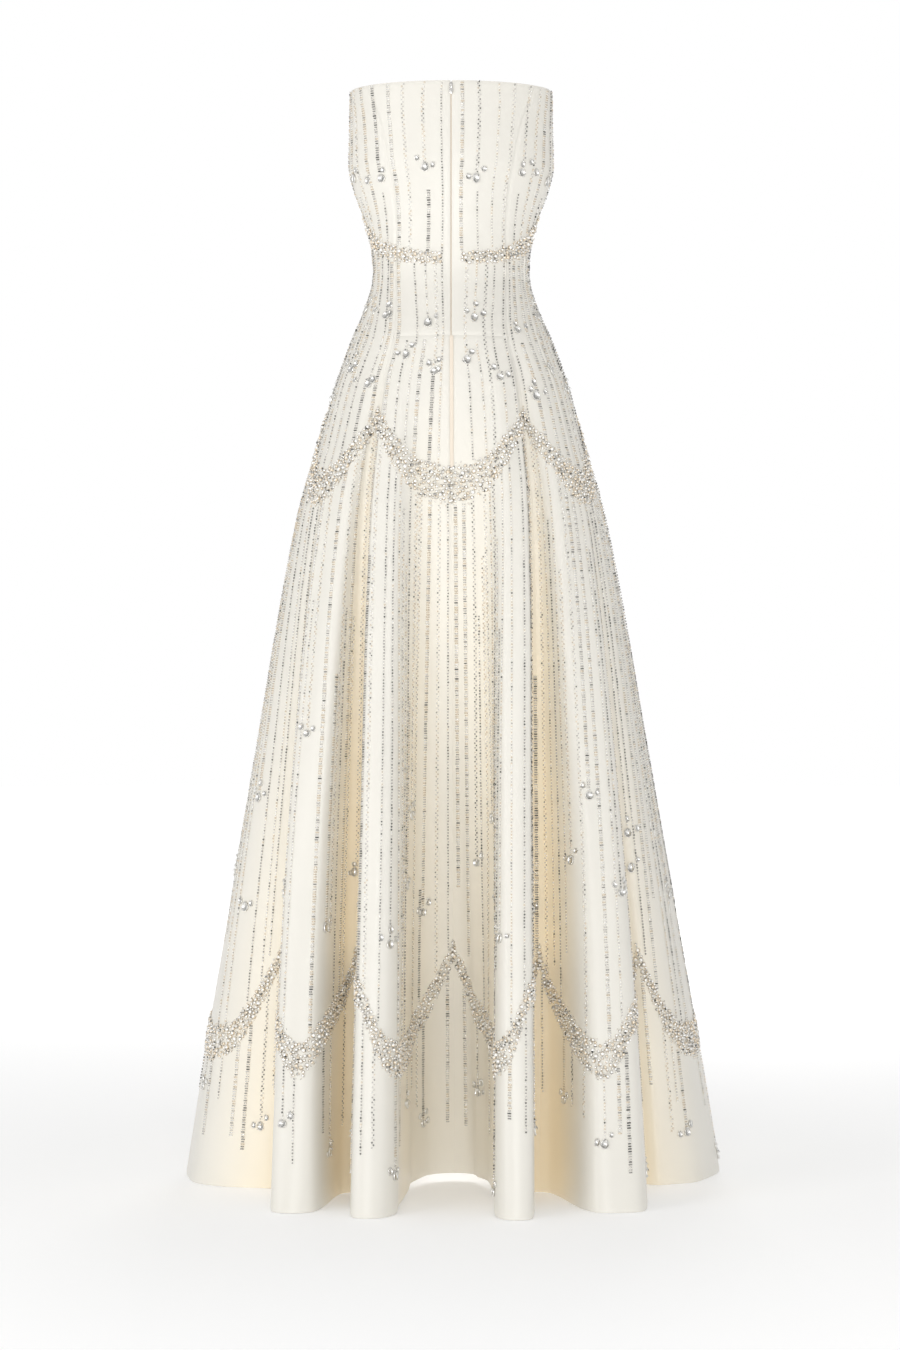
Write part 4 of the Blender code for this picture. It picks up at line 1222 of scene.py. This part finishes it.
bpy.ops.mesh.primitive_cylinder_add(vertices=10, radius=1.0, depth=0.30, location=(0.0, 0.0, 0.15))
large_stone = bpy.context.object
apply_place()
large_stone.data.materials.append(silver_cup)
large_stone.data.materials.append(crystal_glass)
bpy.ops.object.mode_set(mode="EDIT")
select_top(large_stone)
bpy.ops.mesh.inset(thickness=0.12)
raise_top(large_stone, -0.06, 1.0, 0.0)
raise_top(large_stone, 0.26, 0.80, TURN_OF_FACET)
raise_top(large_stone, 0.12, 0.64, TURN_OF_FACET)
bpy.ops.mesh.select_all(action="SELECT")
bpy.ops.mesh.quads_convert_to_tris()
bpy.ops.object.mode_set(mode="OBJECT")
for face in large_stone.data.polygons:
    if face.center.z > 0.25 and math.hypot(face.center.x, face.center.y) < 0.84:
        face.material_index = 1
for quarter in range(4):
    angle = math.radians(45.0 + 90.0 * quarter)
    claw_place = (CLAW_RING * math.cos(angle), CLAW_RING * math.sin(angle), CLAW_HEIGHT)
    bpy.ops.mesh.primitive_cube_add(size=1.0, location=claw_place)
    claw = bpy.context.object
    claw.scale = CLAW_SIZE
    claw.rotation_euler = (0.0, 0.0, angle)
    apply_place()
    claw.data.materials.append(silver_cup)
    claw.data.materials.append(crystal_glass)
    large_stone.select_set(True)
    bpy.context.view_layer.objects.active = large_stone
    bpy.ops.object.join()

stone_points = pattern_points(large_stone)
pear_points = stone_points.copy()
pear_points[:, 0] *= 1.0 - 0.30 * np.clip(pear_points[:, 1], 0.0, 1.0)
pear_points[:, 1] *= np.where(pear_points[:, 1] > 0.0, 1.45, 1.0)
oval_points = stone_points * np.array([0.86, 1.18, 1.0])
STONE_SHAPES = np.array((pear_points, oval_points, stone_points))


def drops_on(panel):
    """The large crystals of one panel and the smaller ones about them, as one mesh."""
    left, right = length_at(panel.first), length_at(panel.last)
    rows = []
    counted = 0
    for drops in DROPS:
        for length, height in DROP_PLACES[drops.name]:
            counted += 1
            if not (left < length < right and panel.foot < height < panel.top):
                continue
            size = DROP_RADIUS * dice.uniform(0.92, 1.08)
            rows.append((length, height, 0.0, 0.0, size, counted % len(STONE_SHAPES)))
            for aside, above in CLUSTERS[counted % len(CLUSTERS)]:
                size = SMALL_DROP_RADIUS * dice.uniform(0.85, 1.2)
                rows.append((length, height, aside, above, size, (counted + 1) % len(STONE_SHAPES)))
    if not rows:
        return
    length, height, aside, above, radius, shape = np.array(rows).T
    spread = np.linalg.norm(steps_on(pressed_cloth, length, height)[0], axis=-1)
    room = np.where((aside != 0.0) & (height + above > LAP_FOOT), ZIP_LAP_ROOM, SEAM_ROOM) / spread
    length = np.clip(length + aside / spread, left + room, right - room)
    place, across, up, out = sewn_frame(length, height + above, np.zeros(len(rows)))
    lean = dice.normal(0.0, DROP_LEAN, (len(rows), 1))
    spots = (place, unit(across + lean * up), unit(up - lean * across), out)
    points = STONE_SHAPES[shape.astype(int)] * radius[:, None, None]
    points[..., 2] *= DROP_HEIGHT / DROP_RADIUS
    tones = dice.choice(len(TONE_PLACES), size=(len(rows), len(large_stone.data.polygons)), p=DROP_GLINT_TONES)
    looks = [silver_cup, crystal_glass]
    sewn_copies("drops_" + panel.node, large_stone, points, spots, looks, TONE_PLACES[tones])


for panel in PANELS:
    drops_on(panel)
bpy.data.objects.remove(large_stone)

# Floor and light: a pale floor just under the hem, which glows faintly by its own painted emission, more so
# further from the gown, so that it fades to white in the distance, and soft white light from all round. Soft
# lamps stand before the gown, front left, front right and behind it.
# A small lamp inside the skirt gives back the light that thin satin lets through.
FLOOR_HEIGHT = HEM_HEIGHT - 0.0006
FLOOR_RADIUS = 14.0
bpy.ops.mesh.primitive_circle_add(
    vertices=96, radius=FLOOR_RADIUS, fill_type="NGON", location=(0.0, 0.0, FLOOR_HEIGHT)
)
floor = bpy.context.object
floor.name = "floor"
floor_paint, floor_tree, floor_shader = new_material("pale_floor", {
    "Base Color": (0.92, 0.92, 0.92, 1.0), "Roughness": 0.8,
    "Specular IOR Level": 0.1, "Emission Strength": 1.0,
})
# The floor's emission is a painted glow: 0.18 within 0.6 m of the gown, rising to 0.46 from 4 m out.
floor_place = add_node(floor_tree, "TexCoord", "Object")
from_gown = add_node(floor_tree, "VectorMath", "Value", {"Vector": floor_place}, operation="LENGTH")
fade = add_node(floor_tree, "MapRange", "Result", {
    "Value": from_gown, "From Min": 0.6, "From Max": 4.0, "To Min": 0.18, "To Max": 0.46,
})
feed(floor_shader, {"Emission Color": fade})
floor.data.materials.append(floor_paint)

SKY_SEEN = 1.0
SKY_LIGHT = 0.64
sky = bpy.data.worlds.new("soft_light")
sky.use_nodes = True
seen = add_node(sky.node_tree, "LightPath", "Is Camera Ray")
sky_strength = add_node(sky.node_tree, "MapRange", "Result", {
    "Value": seen, "To Min": SKY_LIGHT, "To Max": SKY_SEEN,
})
feed(sky.node_tree.nodes["Background"], {"Color": (1.0, 1.0, 1.0, 1.0), "Strength": sky_strength})
bpy.context.scene.world = sky
Lamp = namedtuple("Lamp", "name kind place turn size power")
LAMPS = (
    Lamp("front_left_lamp", "AREA", (-3.5, -3.1, 0.3), (79.0, 0.0, -48.0), 2.0, 36.0),
    Lamp("front_right_lamp", "AREA", (3.2, -3.4, 0.4), (78.0, 0.0, 43.0), 2.0, 5.0),
    Lamp("front_lamp", "AREA", (0.0, -4.6, -0.3), (87.0, 0.0, 0.0), 1.6, 57.0),
    Lamp("far_lamp", "AREA", (0.6, 4.6, 0.2), (-82.0, 0.0, -7.0), 1.8, 44.0),
    Lamp("inner_lamp", "POINT", (0.0, 0.0, -1.05), (0.0, 0.0, 0.0), 0.12, 1.0),
)
for lamp in LAMPS:
    turned = [math.radians(degrees) for degrees in lamp.turn]
    bpy.ops.object.light_add(type=lamp.kind, location=lamp.place, rotation=turned)
    light = bpy.context.object
    light.name = lamp.name
    light.data.energy = lamp.power
    if lamp.kind == "AREA":
        light.data.size = lamp.size
    else:
        light.data.shadow_soft_size = lamp.size
bpy.context.scene.view_settings.view_transform = "Standard"

CAMERA_PLACE = (-0.0014, -4.0, -0.5556)
CAMERA_LENS = 76.8
bpy.ops.object.camera_add(location=CAMERA_PLACE, rotation=(math.radians(90.0), 0.0, 0.0))
bpy.context.object.data.lens = CAMERA_LENS
bpy.context.scene.camera = bpy.context.object
